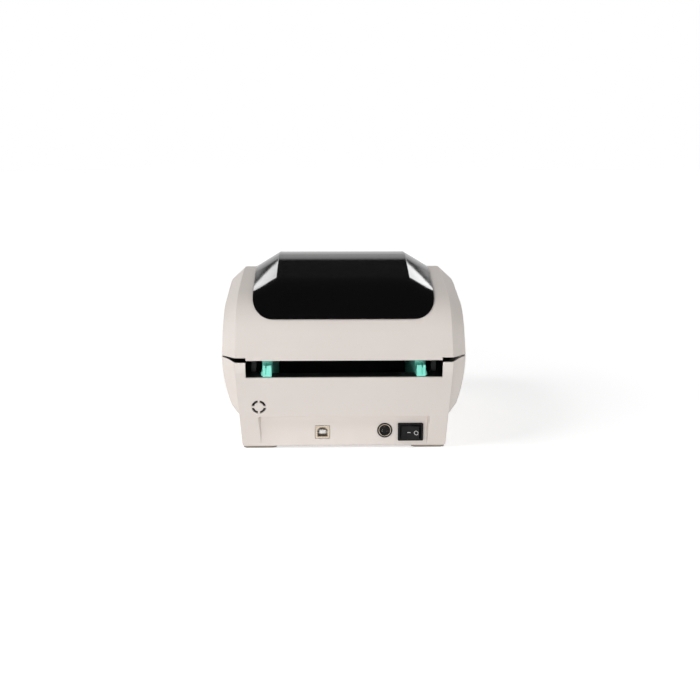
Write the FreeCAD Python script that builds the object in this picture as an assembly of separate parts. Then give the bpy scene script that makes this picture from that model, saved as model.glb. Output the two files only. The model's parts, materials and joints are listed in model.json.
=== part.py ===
"""Desktop thermal label printer, 4 inch class, seen from behind in its photograph.

Millimetres. +Z is up, +Y is the rear (connectors and fan-fold slot), -Y the front (label exit).
The origin is the middle of the footprint, on the surface that the feet stand on.
"""

import FreeCAD, Part
import math
import os

V = FreeCAD.Vector

# Overall size
WIDTH = 200.0
DEPTH = 221.6
WALL = 2.5
FIT_GAP = 0.3
RUN_GAP = 0.05
PAST = 5.0
FAR = 400.0

# Feet and bottom
FOOT_HEIGHT = 1.8
FOOT_WIDTH = 28.0
FOOT_DEPTH = 16.0
FOOT_ROUND = 4.0
FOOT_EDGE_GAP = 0.5
FOOT_REAR_GAP = 2.0
BOTTOM_THICK = 2.5
SCREW_RADIUS = 1.5
SCREW_LENGTH = 12.0
SCREW_HEAD_RADIUS = 3.0
SCREW_HEAD_HEIGHT = 1.2
SCREW_SLOT_WIDTH = 0.8
SCREW_SLOT_DEPTH = 0.7
SCREW_SLOT_REACH = 1.6
BOSS_RADIUS = 4.0
BOSS_HEIGHT = 14.0
BOSS_WEB = 2.4
BOSS_FRONT_X = 45.0
BOSS_FRONT_IN = 22.8
BOSS_SIDE_IN = 6.5
BOSS_REAR_IN = 35.8
STANDOFF_RADIUS = 3.0
STANDOFF_IN = 5.0

# Lower housing
PARTING_Z = 79.4
CORE_BOTTOM_IN = 15.2
CORE_TOP_IN = 11.0
BULGE_Z = 68.0
BASE_LEAN = 14.3
EDGE_ROUND = 1.5
CORNER_ROUND = 3.0
BULGE_ROUND = 8.0
CHEEK_FOOT_Z = 31.0
CHEEK_FOOT_IN = 12.0
CHEEK_TURN_Z = 38.7
CHEEK_TURN_IN = 6.8
CHEEK_MID_Z = 59.0
CHEEK_BEVEL_Y = 13.5
CHEEK_END_SINK = 0.6
CHEEK_FACE_SINK = 0.4
CHEEK_BOW = 0.1
REAR_SHOULDER_Z = 76.3
REAR_SHOULDER_IN = 11.0
SHOULDER_RISE_IN = 6.0
SHOULDER_RISE_DROP = 1.3
SHOULDER_LEAD = 2.0
RELIEF_WALL = 1.0
RELIEF_DEPTH = 4.0

# Rear face
SLOT_SIDE_IN = 20.0
SLOT_Z = 63.6
RECESS_SIDE_IN = 29.0
RECESS_TOP_Z = 29.0
RECESS_DRAFT = 1.8
RECESS_ROUND = 1.5
RECESS_PLANE_IN = 14.0
VENT_SIDE_IN = 29.9
VENT_Z = 37.8
VENT_RADIUS = 5.9
VENT_SLOT = 2.0
VENT_BRIDGE_DEG = 15.0
BUZZER_HEIGHT = 7.0
BUZZER_HOLE_RADIUS = 1.2
BUZZER_HOLE_DEPTH = 1.5
COLLAR_GRIP = 3.5
COLLAR_WALL = 1.2

# Sockets and switch in the recess
USB_X = 18.0
USB_WIDTH = 12.0
USB_HEIGHT = 10.8
USB_DEPTH = 16.0
USB_MOUTH_WIDTH = 8.5
USB_MOUTH_HEIGHT = 7.8
USB_MOUTH_CORNER = 2.2
USB_SHELL = 0.7
USB_TONGUE_WIDTH = 5.6
USB_TONGUE_HEIGHT = 3.2
USB_TONGUE_SHORT = 1.2
USB_PLUG_DEPTH = 5.0
DIN_FROM_SWITCH = 21.4
DIN_Z = 15.3
DIN_RADIUS = 6.25
DIN_DEPTH = 14.0
DIN_SHELL_RADIUS = 5.2
DIN_SHELL = 0.5
DIN_PROUD = 0.6
DIN_BACK = 3.0
DIN_RING_SHORT = 0.2
DIN_INSERT_SHORT = 1.6
DIN_PIN_CIRCLE = 2.6
DIN_PIN_RADIUS = 0.8
DIN_PIN_DEGREES = (30, 150, 270)
DIN_KEY_WIDTH = 2.0
DIN_KEY_DEPTH = 1.4
SWITCH_SIDE_IN = 15.7
SWITCH_Z = 14.1
SWITCH_WIDTH = 21.0
SWITCH_HEIGHT = 15.0
SWITCH_ROUND = 0.8
SWITCH_BEZEL = 2.0
SWITCH_BODY_WIDTH = 19.0
SWITCH_BODY_HEIGHT = 13.0
SWITCH_BODY_DEPTH = 16.0
ROCKER_WIDTH = 14.8
ROCKER_HEIGHT = 11.0
ROCKER_TILT = 9.0
ROCKER_END_PROUD = 2.6
ROCKER_DIP_PROUD = 1.2
ROCKER_DIP_ROUND = 22.0
ROCKER_EDGE = 0.6
ROCKER_BACK = 3.5
ROCKER_PIVOT_IN = 1.0
ROCKER_OPENING = 17.0
ROCKER_CAVITY = 7.0
ROCKER_PIN_RADIUS = 1.2

# Main board
BOARD_THICK = 1.6
BOARD_Z = 7.0
BOARD_FROM_SWITCH = 12.3
BOARD_SIDE_IN = 18.5
BOARD_DEPTH = 24.0

# Lid
LID_LIP_Z = 78.0
LID_LIP_SIDE_GAP = 0.4
LID_EDGE_Z = 80.0
LID_SKIRT = 30.0
LID_TOP_Z = 140.8
LID_TOP_Y = -20.0
LID_CORNER_IN = 26.8
LID_REAR_Z = 122.0
LID_REAR_ROUND = 60.0
LID_FRONT_Z = 124.0
LID_FRONT_ROUND = 50.0
LID_CROWN_ROUND = 140.0
LID_BEVEL = 10.5
LID_BREAK_IN = 11.5
LID_MITRE_DEG = 22.5
LID_EXIT_Z = 88.0
LID_EXIT_SIDE_GAP = 2.0

# Window
WINDOW_SIDE_IN = 22.0
WINDOW_FLAT_IN = 43.0
WINDOW_LOW_IN = 26.0
WINDOW_LOW_Z = 108.5
WINDOW_CORNER = 17.0
WINDOW_WALL = 2.5
WINDOW_LIFT = 0.8
WINDOW_RIM = 8.0
WINDOW_TRIM = 0.1
WINDOW_KEEL = 40.0
WINDOW_FACET_SHARE = 0.3
WINDOW_REAR_IN = 14.0
WINDOW_REAR_Z = 104.0
WINDOW_BACK_IN = 40.8
WINDOW_BACK_Z = 129.5
WINDOW_BACK_ROUND = 105.0
WINDOW_CROWN = (-25.0, 154.7, 120.0)
WINDOW_BROW_IN = 36.8
WINDOW_BROW_Z = 141.0
WINDOW_BROW_ROUND = 45.0
WINDOW_FRONT_IN = 12.8
WINDOW_FRONT_Z = 103.5

# Hinge
HINGE_IN = 14.8
HINGE_Z = 86.0
HINGE_PIN_RADIUS = 2.5
KNUCKLE_RADIUS = 5.0
BRACKET_SIDE_IN = 27.0
BRACKET_THICK = 4.0
BRACKET_FRONT = 22.0
BRACKET_REAR = 12.0
BRACKET_NECK = 3.0
RIB_SIDE_GAP = 0.4
RIB_THICK = 4.6
RIB_DEPTH = 6.5
RIB_LOW_Z = 82.0

# Media bay and roll holders
BAY_SIDE_IN = 29.0
BAY_REAR_GAP = 5.0
BAY_FRONT_GAP = 3.0
BAY_Z = 78.0
BAY_FLOOR_Z = 12.0
BAY_WALL = 2.0
DECK_Z = 63.0
DECK_SIDE_IN = 16.0
DECK_FRONT_IN = 66.8
DECK_LEG = 4.5
DECK_LEG_GAP = 1.0
DECK_LEG_LENGTH = 8.0
DECK_LEG_FRONT = -25.0
DECK_LEG_REAR = 23.0
GEAR_ROOM = 7.0
GUIDE_SIDE_GAP = 3.0
GUIDE_THICK = 9.0
GUIDE_ROLL_GAP = 6.0
GUIDE_RIM = 4.0
GUIDE_WEB = 3.0
GUIDE_GROOVE = 1.0
GUIDE_HEEL_IN = 9.8
GUIDE_HEEL_HEIGHT = 3.2
GUIDE_TOP_Z = 82.0
GUIDE_CLOSED_HALF = 12.5
GUIDE_BOSS_RADIUS = 10.0
GROOVE_LOW_Z = 66.5
GROOVE_HIGH_Z = 77.0
GROOVE_DEPTH = 1.5
HUB_RADIUS = 12.3
HUB_LENGTH = 9.0
HUB_PIN_RADIUS = 4.0
HUB_FLANGE_RADIUS = 18.0
HUB_FLANGE_THICK = 2.0
HUB_NOSE = 1.5
HUB_POCKETS = 4
HUB_POCKET_CIRCLE = 8.2
HUB_POCKET_RADIUS = 2.2
RACK_MODULE = 1.0
RACK_HEIGHT = 4.0
RACK_BODY = 3.5
RACK_LEAD_TEETH = 2
RACK_TIP = 0.8
PINION_TEETH = 16
PINION_PIN_RADIUS = 2.0
TOOTH_ROOT = 1.2
TOOTH_SLOPE = 0.36
BACKLASH = 0.26

# Print mechanism
PLATE_SIDE_IN = 30.0
PLATE_THICK = 2.0
PLATE_FRONT_IN = 18.8
PLATE_REAR_IN = 64.8
PLATE_TOP_Z = 80.0
PLATEN_IN = 28.8
PLATEN_Z = 70.0
PLATEN_RADIUS = 8.0
PLATEN_SIDE_GAP = 14.0
PLATEN_SHAFT_RADIUS = 3.0
BUSH_RADIUS = 5.5
BUSH_LENGTH = 4.5
GEAR_MODULE = 0.8
MOTOR_TEETH = 14
IDLER_TEETH = 44
PLATEN_TEETH = 24
GEAR_WIDTH = 4.5
GEAR_GAP = 0.6
MOTOR_IN = 48.8
MOTOR_Z = 32.0
MOTOR_RADIUS = 17.5
MOTOR_LENGTH = 24.0
MOTOR_SHAFT_RADIUS = 2.5
IDLER_PIN_RADIUS = 2.0
HEAD_GAP = 0.3
HEAD_THICK = 1.5
HEAD_REAR_IN = 44.8
HEAD_PLATE = 1.5
HEAD_PLATE_SIDE = 6.0
HEAD_PIVOT_IN = 50.8
HEAD_PIVOT_Z = 88.0
HEAD_PIVOT_RADIUS = 2.0
HEAD_LUG_SIDE = 10.0
HEAD_LUG_TOP = 4.0
EAR_STEP = 6.0
EAR_THICK = 3.0
EAR_HALF = 5.0
SINK_THICK = 5.0
SINK_GROOVE = 1.6
SINK_GROOVE_DEPTH = 3.0
SINK_PITCH = 4.0
SINK_GROOVES = 2
BEAM_Z = 97.0
BEAM_THICK = 3.0
BEAM_FRONT_IN = 16.8
BEAM_REAR_IN = 56.8
STUD_PLATE_LOW_Z = 84.0
SPRING_X = 30.0
SPRING_IN = 30.8
SPRING_RADIUS = 3.6
SPRING_WIRE = 0.45
SPRING_TURNS = 5.0
SHEET_SIDE_GAP = 0.5
SHEET_THICK = 2.0
SHEET_FRONT_IN = 38.8
SHEET_TOP_Z = 76.0
SENSOR_WIDTH = 14.0
SENSOR_DEPTH = 9.0
SENSOR_HEIGHT = 5.0

# Latch
LATCH_IN = 24.8
LATCH_Z = 47.0
LATCH_LOW = 3.5
LATCH_SHAFT_RADIUS = 2.5
LATCH_SIDE_IN = 15.0
LATCH_THICK = 4.0
LATCH_ARM_HALF = 3.0
LATCH_ROUND = 1.0
LATCH_TOP_Z = 95.0
LATCH_NOSE_GAP = 0.4
LATCH_STUD_IN = 32.8
LATCH_STUD_Z = 88.0
LATCH_STUD_RADIUS = 2.5
LATCH_TAB_Z = 63.0
LATCH_TAB_HEIGHT = 10.0
LATCH_TAB_LENGTH = 14.0
LATCH_TAB_TRAVEL = 3.4
LATCH_TAB_GAP = 1.2

# Front
EXIT_SIDE_GAP = 8.0
EXIT_Z = 68.0
TEAR_SIDE_GAP = 5.0
TEAR_PITCH = 2.0
TEAR_THICK = 1.0
TEAR_HEIGHT = 6.0
TEAR_TOOTH = 1.0
TEAR_IN = 11.8
BEZEL_THICK = 2.0
BEZEL_RIB = 3.0
BEZEL_ROUND = 1.0
BUTTON_Z = 45.0
BUTTON_RADIUS = 6.0
BUTTON_LENGTH = 9.0
BUTTON_PROUD = 1.0
BUTTON_EDGE = 0.8
BUTTON_FLANGE = 1.2
BUTTON_FLANGE_THICK = 1.5
BUTTON_FLANGE_GAP = 2.0
LED_Z = 58.0
LED_RADIUS = 1.8
LED_PROUD = 0.3
KEY_BOARD_WIDTH = 20.0
KEY_BOARD_HEIGHT = 38.0
KEY_BOARD_LOW = 15.0
KEY_BOARD_IN = 14.8
KEY_POST_RADIUS = 2.5
KEY_POST_X = 7.5
KEY_POST_INSET = 3.0

# Derived places: across the width
HALF = WIDTH / 2
CORE_HALF_BOTTOM = HALF - CORE_BOTTOM_IN
CORE_HALF_TOP = HALF - CORE_TOP_IN
REAR_SHOULDER_HALF = HALF - REAR_SHOULDER_IN
SLOT_HALF = HALF - SLOT_SIDE_IN
RECESS_HALF = HALF - RECESS_SIDE_IN
VENT_X = HALF - VENT_SIDE_IN
SWITCH_X = SWITCH_SIDE_IN - RECESS_HALF
DIN_X = SWITCH_X + DIN_FROM_SWITCH
BOARD_MIN_X = SWITCH_X + BOARD_FROM_SWITCH
BOARD_MAX_X = RECESS_HALF - BOARD_SIDE_IN
LID_BREAK_HALF = HALF - LID_BREAK_IN
LID_LIP_HALF = SLOT_HALF - LID_LIP_SIDE_GAP
WINDOW_HALF = HALF - WINDOW_SIDE_IN
WINDOW_FLAT_HALF = HALF - WINDOW_FLAT_IN
WINDOW_LOW_HALF = HALF - WINDOW_LOW_IN
BRACKET_X = HALF - BRACKET_SIDE_IN
RIB_X = BRACKET_X + BRACKET_THICK + RIB_SIDE_GAP
BAY_HALF = HALF - BAY_SIDE_IN
DECK_HALF = HALF - DECK_SIDE_IN
DECK_LEG_X = BAY_HALF + BAY_WALL + DECK_LEG_GAP
GUIDE_INNER = BAY_HALF - GUIDE_SIDE_GAP - GUIDE_THICK
GUIDE_TRAVEL = GUIDE_INNER - GUIDE_CLOSED_HALF
PLATE_X = HALF - PLATE_SIDE_IN
PLATE_OUT_X = PLATE_X + PLATE_THICK
PLATEN_HALF = PLATE_X - PLATEN_SIDE_GAP
HEAD_PLATE_HALF = PLATEN_HALF - HEAD_PLATE_SIDE
HEAD_LUG_X = PLATEN_HALF - HEAD_LUG_SIDE
HEAD_EAR_X = HEAD_LUG_X + EAR_STEP
SHEET_HALF = PLATE_X - SHEET_SIDE_GAP
GEAR_IN_X = PLATE_OUT_X + GEAR_GAP
GEAR_OUT_X = GEAR_IN_X + GEAR_WIDTH
LATCH_X = HALF - LATCH_SIDE_IN
EXIT_HALF = PLATE_X - EXIT_SIDE_GAP
LID_EXIT_HALF = EXIT_HALF - LID_EXIT_SIDE_GAP
TEAR_HALF = EXIT_HALF - TEAR_SIDE_GAP
BUTTON_X = EXIT_HALF

# Derived places: from front to rear
REAR_Y = DEPTH / 2
FRONT_Y = -DEPTH / 2
FOOTPRINT_Y = REAR_Y - BASE_LEAN
BOSS_FRONT = (BOSS_FRONT_X, FRONT_Y + BOSS_FRONT_IN)
BOSS_REAR = (CORE_HALF_BOTTOM - BOSS_SIDE_IN, REAR_Y - BOSS_REAR_IN)
RECESS_Y = REAR_Y - RECESS_PLANE_IN
PANEL_IN_Y = RECESS_Y - WALL
BOARD_REAR_Y = PANEL_IN_Y - FIT_GAP
DIN_FACE_Y = RECESS_Y + DIN_PROUD
DIN_BACK_Y = DIN_FACE_Y - DIN_DEPTH + DIN_BACK
SWITCH_FACE_Y = RECESS_Y + SWITCH_BEZEL
LID_REAR_CORNER = (REAR_Y - LID_CORNER_IN, LID_REAR_Z, LID_REAR_ROUND)
LID_CROWN = (LID_TOP_Y, LID_TOP_Z, LID_CROWN_ROUND)
LID_FRONT_CORNER = (FRONT_Y + LID_CORNER_IN, LID_FRONT_Z, LID_FRONT_ROUND)
WINDOW_REAR_START = (REAR_Y - WINDOW_REAR_IN, WINDOW_REAR_Z, 0)
WINDOW_REAR_CORNER = (REAR_Y - WINDOW_BACK_IN, WINDOW_BACK_Z, WINDOW_BACK_ROUND)
WINDOW_FRONT_CORNER = (FRONT_Y + WINDOW_BROW_IN, WINDOW_BROW_Z, WINDOW_BROW_ROUND)
WINDOW_FRONT_START = (FRONT_Y + WINDOW_FRONT_IN, WINDOW_FRONT_Z, 0)
HINGE_Y = REAR_Y - HINGE_IN
BRACKET_FRONT_Y = HINGE_Y - BRACKET_FRONT
BRACKET_REAR_Y = HINGE_Y - BRACKET_REAR
DECK_FRONT_Y = FRONT_Y + DECK_FRONT_IN
DECK_REAR_Y = REAR_Y - 2 * WALL
BAY_ROOM = HINGE_Y - BAY_REAR_GAP - DECK_FRONT_Y - BAY_FRONT_GAP
BAY_RADIUS = min(BAY_ROOM / 2, BAY_Z - BAY_FLOOR_Z)
BAY_Y = HINGE_Y - BAY_REAR_GAP - BAY_RADIUS
GUIDE_RADIUS = BAY_RADIUS - GUIDE_ROLL_GAP
PLATE_FRONT_Y = FRONT_Y + PLATE_FRONT_IN
PLATE_REAR_Y = FRONT_Y + PLATE_REAR_IN
PLATEN_Y = FRONT_Y + PLATEN_IN
MOTOR_Y = FRONT_Y + MOTOR_IN
HEAD_FRONT_Y = PLATE_FRONT_Y
HEAD_REAR_Y = FRONT_Y + HEAD_REAR_IN
HEAD_PIVOT_Y = FRONT_Y + HEAD_PIVOT_IN
BEAM_FRONT_Y = FRONT_Y + BEAM_FRONT_IN
BEAM_REAR_Y = FRONT_Y + BEAM_REAR_IN
SPRING_Y = FRONT_Y + SPRING_IN
SHEET_FRONT_Y = FRONT_Y + SHEET_FRONT_IN
LATCH_Y = FRONT_Y + LATCH_IN
LATCH_STUD_Y = FRONT_Y + LATCH_STUD_IN
TEAR_Y = FRONT_Y + TEAR_IN
KEY_BOARD_Y = FRONT_Y + KEY_BOARD_IN

# Derived places: heights
BASE_Z = FOOT_HEIGHT
FLOOR_Z = FOOT_HEIGHT + BOTTOM_THICK
BOARD_TOP_Z = BOARD_Z + BOARD_THICK
USB_Z = BOARD_TOP_Z + USB_HEIGHT / 2
LEAN_SLOPE = BASE_LEAN / (BULGE_Z - BASE_Z)
RACK_Z = FLOOR_Z + 2 * FIT_GAP
GUIDE_NECK_TOP = BAY_Z - GUIDE_RADIUS + GUIDE_RIM
HEAD_Z = PLATEN_Z + PLATEN_RADIUS + HEAD_GAP
SINK_Z = HEAD_Z + HEAD_THICK
HEAD_PLATE_Z = SINK_Z + SINK_THICK
HEAD_PLATE_TOP_Z = HEAD_PLATE_Z + HEAD_PLATE
KEY_BOARD_Z = BUTTON_Z - KEY_BOARD_LOW


# Drawing helpers

def to_space(plane, at, a, b):
    """A point (a, b) drawn in the YZ, XZ or XY plane that lies at the given height along the third axis."""
    if plane == "YZ":
        return V(at, a, b)
    if plane == "XZ":
        return V(a, at, b)
    return V(a, b, at)


def fitted(corners):
    """The same corners; where two arcs lack room on the side between them, both shrink to fit."""
    count = len(corners)
    points = [V(a, b, 0) for a, b, radius in corners]
    sides = [points[(i + 1) % count] - points[i] for i in range(count)]
    reach = [corners[i][2] * math.tan(sides[i - 1].getAngle(sides[i]) / 2) for i in range(count)]
    room = []
    for i, side in enumerate(sides):
        needed = reach[i] + reach[(i + 1) % count]
        room.append(min(1, (side.Length - RUN_GAP) / needed) if needed > 0 else 1)
    return [(a, b, radius * min(room[i - 1], room[i])) for i, (a, b, radius) in enumerate(corners)]


def rounded_wire(plane, at, corners):
    """A closed wire through corners (a, b, radius); a radius above zero rounds the corner by an arc."""
    corners = fitted(corners)
    count = len(corners)
    joints = []
    for i, (a, b, radius) in enumerate(corners):
        here = V(a, b, 0)
        before = V(corners[i - 1][0], corners[i - 1][1], 0) - here
        after = V(corners[(i + 1) % count][0], corners[(i + 1) % count][1], 0) - here
        if radius <= 0:
            joints.append((here, None, here))
            continue
        half = before.getAngle(after) / 2
        reach = radius / math.tan(half)
        bisector = (before.normalize() + after.normalize()).normalize()
        start = here + before * reach
        end = here + after * reach
        middle = here + bisector * (radius / math.sin(half) - radius)
        joints.append((start, middle, end))
    edges = []
    for i, (start, middle, end) in enumerate(joints):
        if middle is not None:
            points = [to_space(plane, at, p.x, p.y) for p in (start, middle, end)]
            edges.append(Part.Arc(*points).toShape())
        following = joints[(i + 1) % count][0]
        start_point = to_space(plane, at, end.x, end.y)
        edges.append(Part.makeLine(start_point, to_space(plane, at, following.x, following.y)))
    return Part.Wire(edges)


def inset(corners, distance):
    """The convex outline that lies the given distance inside another, with as many corners."""
    count = len(corners)
    turn = sum(corners[i - 1][0] * corners[i][1] - corners[i][0] * corners[i - 1][1] for i in range(count))
    side = 1 if turn > 0 else -1
    lines = []
    for i in range(count):
        start = V(corners[i][0], corners[i][1], 0)
        along = V(corners[(i + 1) % count][0], corners[(i + 1) % count][1], 0) - start
        along.normalize()
        inward = V(-along.y, along.x, 0) * side
        lines.append((start + inward * distance, along))
    moved = []
    for i, (a, b, radius) in enumerate(corners):
        p, d = lines[i - 1]
        q, e = lines[i]
        share = ((q.x - p.x) * e.y - (q.y - p.y) * e.x) / (d.x * e.y - d.y * e.x)
        place = p + d * share
        moved.append((place.x, place.y, max(radius - distance, FIT_GAP) if radius > 0 else 0))
    return moved


def prism(plane, start, end, corners):
    """A rounded outline drawn in a plane and extruded from start to end along that plane's normal."""
    face = Part.Face(rounded_wire(plane, start, corners))
    return face.extrude(to_space(plane, end, 0, 0) - to_space(plane, start, 0, 0))


def loft(wires):
    return Part.makeLoft(wires, True, True)


def box(low, high):
    return Part.makeBox(high[0] - low[0], high[1] - low[1], high[2] - low[2], V(*low))


def rod(axis, start, length, radius):
    return Part.makeCylinder(radius, length, V(*start), V(*axis))


def ring(axis, start, length, outer, inner):
    return rod(axis, start, length, outer).cut(rod(axis, start, length, inner))


def fuse(first, *others):
    return first.multiFuse(list(others)).removeSplitter()


def cut(shape, *tools):
    for tool in tools:
        shape = shape.cut(tool)
    return shape


def both_sides(shape):
    """A shape and its mirror image across the middle plane, as separate solids."""
    return Part.makeCompound([shape, mirrored(shape)])


def mirrored(shape):
    return shape.mirror(V(0, 0, 0), V(1, 0, 0))


def above(z):
    return box((-FAR, -FAR, z), (FAR, FAR, z + FAR))


def below(z):
    return box((-FAR, -FAR, z - FAR), (FAR, FAR, z))


# Outer forms

def rear_y(z):
    """Where the leaning rear face of the lower housing lies at a height."""
    return FOOTPRINT_Y + LEAN_SLOPE * min(z - BASE_Z, BULGE_Z - BASE_Z)


def core_half(z):
    """Half width of the tapering core of the lower housing at a height."""
    share = (z - BASE_Z) / (PARTING_Z - BASE_Z)
    return CORE_HALF_BOTTOM + (CORE_HALF_TOP - CORE_HALF_BOTTOM) * share


def cheek(wall):
    """One side bulge of the lower housing, bevelled at its front and rear ends, taken in by a wall."""
    outer = HALF - wall
    foot_z, turn_z = CHEEK_FOOT_Z + wall, CHEEK_TURN_Z + wall / 3
    heights = (foot_z, turn_z, CHEEK_MID_Z, PARTING_Z)
    root = core_half(CHEEK_FOOT_Z) - 3 * WALL
    rise = PARTING_Z - CHEEK_TURN_Z
    bow = (rise ** 2 + CHEEK_TURN_IN ** 2) / (2 * CHEEK_TURN_IN)
    flare = (CHEEK_FOOT_IN - CHEEK_TURN_IN) / (CHEEK_TURN_Z - CHEEK_FOOT_Z)
    foot_x = HALF - CHEEK_FOOT_IN - wall * (math.sqrt(1 + flare ** 2) - flare)
    turn_x, middle_x = (
        HALF - bow + math.sqrt((bow - wall) ** 2 - (PARTING_Z - z) ** 2) for z in heights[1:3]
    )
    end_y = {z: rear_y(z) - CHEEK_END_SINK - wall for z in (foot_z, PARTING_Z)}
    slope = (end_y[PARTING_Z] - end_y[foot_z]) / (PARTING_Z - foot_z)

    def section(place, places_x):
        foot, turn, middle, top = (V(x, place(z), z) for x, z in zip(places_x, heights))
        low, high = V(root, place(foot_z), foot_z), V(root, place(PARTING_Z), PARTING_Z)
        edges = [Part.makeLine(low, foot), Part.makeLine(foot, turn), Part.Arc(turn, middle, top).toShape()]
        return Part.Wire(edges + [Part.makeLine(top, high), Part.makeLine(high, low)])

    def full(side):
        edge_y = REAR_Y - CHEEK_BEVEL_Y - wall / 2
        return section(lambda z: side * edge_y, (foot_x, turn_x, middle_x, outer))

    def end(side):
        flat = [core_half(z) - CHEEK_FACE_SINK - wall for z in heights]
        flat[2] += CHEEK_BOW
        return section(lambda z: side * (end_y[foot_z] + slope * (z - foot_z)), flat)

    return loft([end(-1), full(-1), full(1), end(1)])


def base_form(wall, low_z):
    """The lower housing's outer shape, or the hollow inside it where a wall is given."""
    low_y, low_half = rear_y(low_z), core_half(low_z) - wall
    side = [
        (low_y, low_z, EDGE_ROUND), (REAR_Y, BULGE_Z, BULGE_ROUND), (REAR_Y, PARTING_Z + WALL, 0),
        (-REAR_Y, PARTING_Z + WALL, 0), (-REAR_Y, BULGE_Z, BULGE_ROUND), (-low_y, low_z, EDGE_ROUND),
    ]
    if wall:
        side = inset(side, wall)
    front = [
        (low_half, low_z, CORNER_ROUND), (CORE_HALF_TOP - wall, PARTING_Z, 0),
        (wall - CORE_HALF_TOP, PARTING_Z, 0), (-low_half, low_z, CORNER_ROUND),
    ]
    core = prism("YZ", -WIDTH, WIDTH, side).common(prism("XZ", -DEPTH, DEPTH, front))
    bulge = cheek(wall)
    return fuse(core, bulge, mirrored(bulge))


def lid_outline():
    """Side view of the lid: rear slope, crowned top and front slope, carried on down past its edge."""
    return [
        (REAR_Y, LID_LIP_Z - LID_SKIRT, 0), (REAR_Y, LID_LIP_Z, 0), LID_REAR_CORNER,
        LID_CROWN, LID_FRONT_CORNER, (FRONT_Y, LID_LIP_Z, 0), (FRONT_Y, LID_LIP_Z - LID_SKIRT, 0),
    ]


def lid_form(wall):
    """The lid's outer shape with its bevelled sides, or the hollow inside it where a wall is given."""
    bevel_share = math.tan(math.radians(LID_MITRE_DEG))
    half = HALF - wall
    shoulder = LID_BREAK_HALF - wall * bevel_share
    full = inset(lid_outline(), wall) if wall else lid_outline()
    narrow = inset(lid_outline(), LID_BEVEL + wall * bevel_share)
    places = [(-half, narrow), (-shoulder, full), (shoulder, full), (half, narrow)]
    return loft([rounded_wire("YZ", x, outline) for x, outline in places])


def window_form(depth):
    """The faceted bubble of the window, or the space inside it at a depth under its surface."""
    keel = (LID_TOP_Y, WINDOW_LOW_Z - WINDOW_KEEL, 0)
    bubble = [
        WINDOW_REAR_START, WINDOW_REAR_CORNER, WINDOW_CROWN, WINDOW_FRONT_CORNER, WINDOW_FRONT_START, keel,
    ]
    low = [
        (REAR_Y, LID_LIP_Z, 0), LID_REAR_CORNER, LID_CROWN, LID_FRONT_CORNER, (FRONT_Y, LID_LIP_Z, 0), keel,
    ]
    low = inset(low, depth - WINDOW_LIFT)
    bubble = inset(bubble, depth) if depth else bubble
    half, flat = WINDOW_HALF, WINDOW_FLAT_HALF - depth * WINDOW_FACET_SHARE
    places = [(-half, low), (-flat, bubble), (flat, bubble), (half, low)]
    return loft([rounded_wire("YZ", x, outline) for x, outline in places])


def window_outline(margin):
    """The window's edge seen from behind, taken in by a margin."""
    half = WINDOW_HALF - WINDOW_TRIM
    high = LID_TOP_Z + WINDOW_KEEL
    corners = [
        (WINDOW_LOW_HALF, WINDOW_LOW_Z, WINDOW_CORNER), (half, LID_TOP_Z, 0), (half, high, 0),
        (-half, high, 0), (-half, LID_TOP_Z, 0), (-WINDOW_LOW_HALF, WINDOW_LOW_Z, WINDOW_CORNER),
    ]
    return inset(corners, margin) if margin else corners


# Housing and bottom

def screw_places():
    return [(side * x, y) for x, y in (BOSS_FRONT, BOSS_REAR) for side in (-1, 1)]


def screw_bosses():
    """Posts in the lower housing that take the bottom screws, each tied to the nearest wall by a web."""
    top = FLOOR_Z + BOSS_HEIGHT
    posts = [rod((0, 0, 1), (x, y, FLOOR_Z), BOSS_HEIGHT, BOSS_RADIUS) for x, y in screw_places()]
    x, y = BOSS_FRONT
    front = box((x - BOSS_WEB / 2, -FAR, FLOOR_Z), (x + BOSS_WEB / 2, y, top))
    x, y = BOSS_REAR
    side = box((x, y - BOSS_WEB / 2, FLOOR_Z), (FAR, y + BOSS_WEB / 2, top))
    return posts + [front, mirrored(front), side, mirrored(side)]


def vent_slots():
    """Four arc slots on one circle, through the rear wall in front of the buzzer."""
    low_y, high_y = buzzer_face_y(), REAR_Y + PAST
    band = ring((0, 1, 0), (VENT_X, low_y, VENT_Z), high_y - low_y, VENT_RADIUS, VENT_RADIUS - VENT_SLOT)
    bridge = 2 * VENT_RADIUS * math.sin(math.radians(VENT_BRIDGE_DEG / 2))
    reach = VENT_RADIUS + PAST
    half = bridge / 2
    upright = box((VENT_X - half, low_y, VENT_Z - reach), (VENT_X + half, high_y, VENT_Z + reach))
    level = box((VENT_X - reach, low_y, VENT_Z - bridge / 2), (VENT_X + reach, high_y, VENT_Z + bridge / 2))
    return cut(band, upright, level)


def recess_space():
    """The drafted recess in the rear face that the sockets and the switch look into."""

    def opening(y, grow):
        half, top = RECESS_HALF - RECESS_DRAFT + grow, RECESS_TOP_Z - RECESS_DRAFT / 2 + grow / 2
        low = BASE_Z - PAST
        corners = [(half, low, 0), (half, top, RECESS_ROUND), (-half, top, RECESS_ROUND), (-half, low, 0)]
        return rounded_wire("XZ", y, corners)

    depth = rear_y(RECESS_TOP_Z) - RECESS_Y
    return loft([opening(RECESS_Y, 0), opening(RECESS_Y + 2 * depth, 2 * RECESS_DRAFT)])


def swing_relief():
    """Thins the housing's top edge behind the hinge from inside, where the lid's edge dips past it."""
    room = box((-FAR, BRACKET_FRONT_Y, REAR_SHOULDER_Z - RELIEF_DEPTH), (FAR, FAR, FAR))
    return base_form(RELIEF_WALL, BASE_Z - PAST).common(room)


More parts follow.
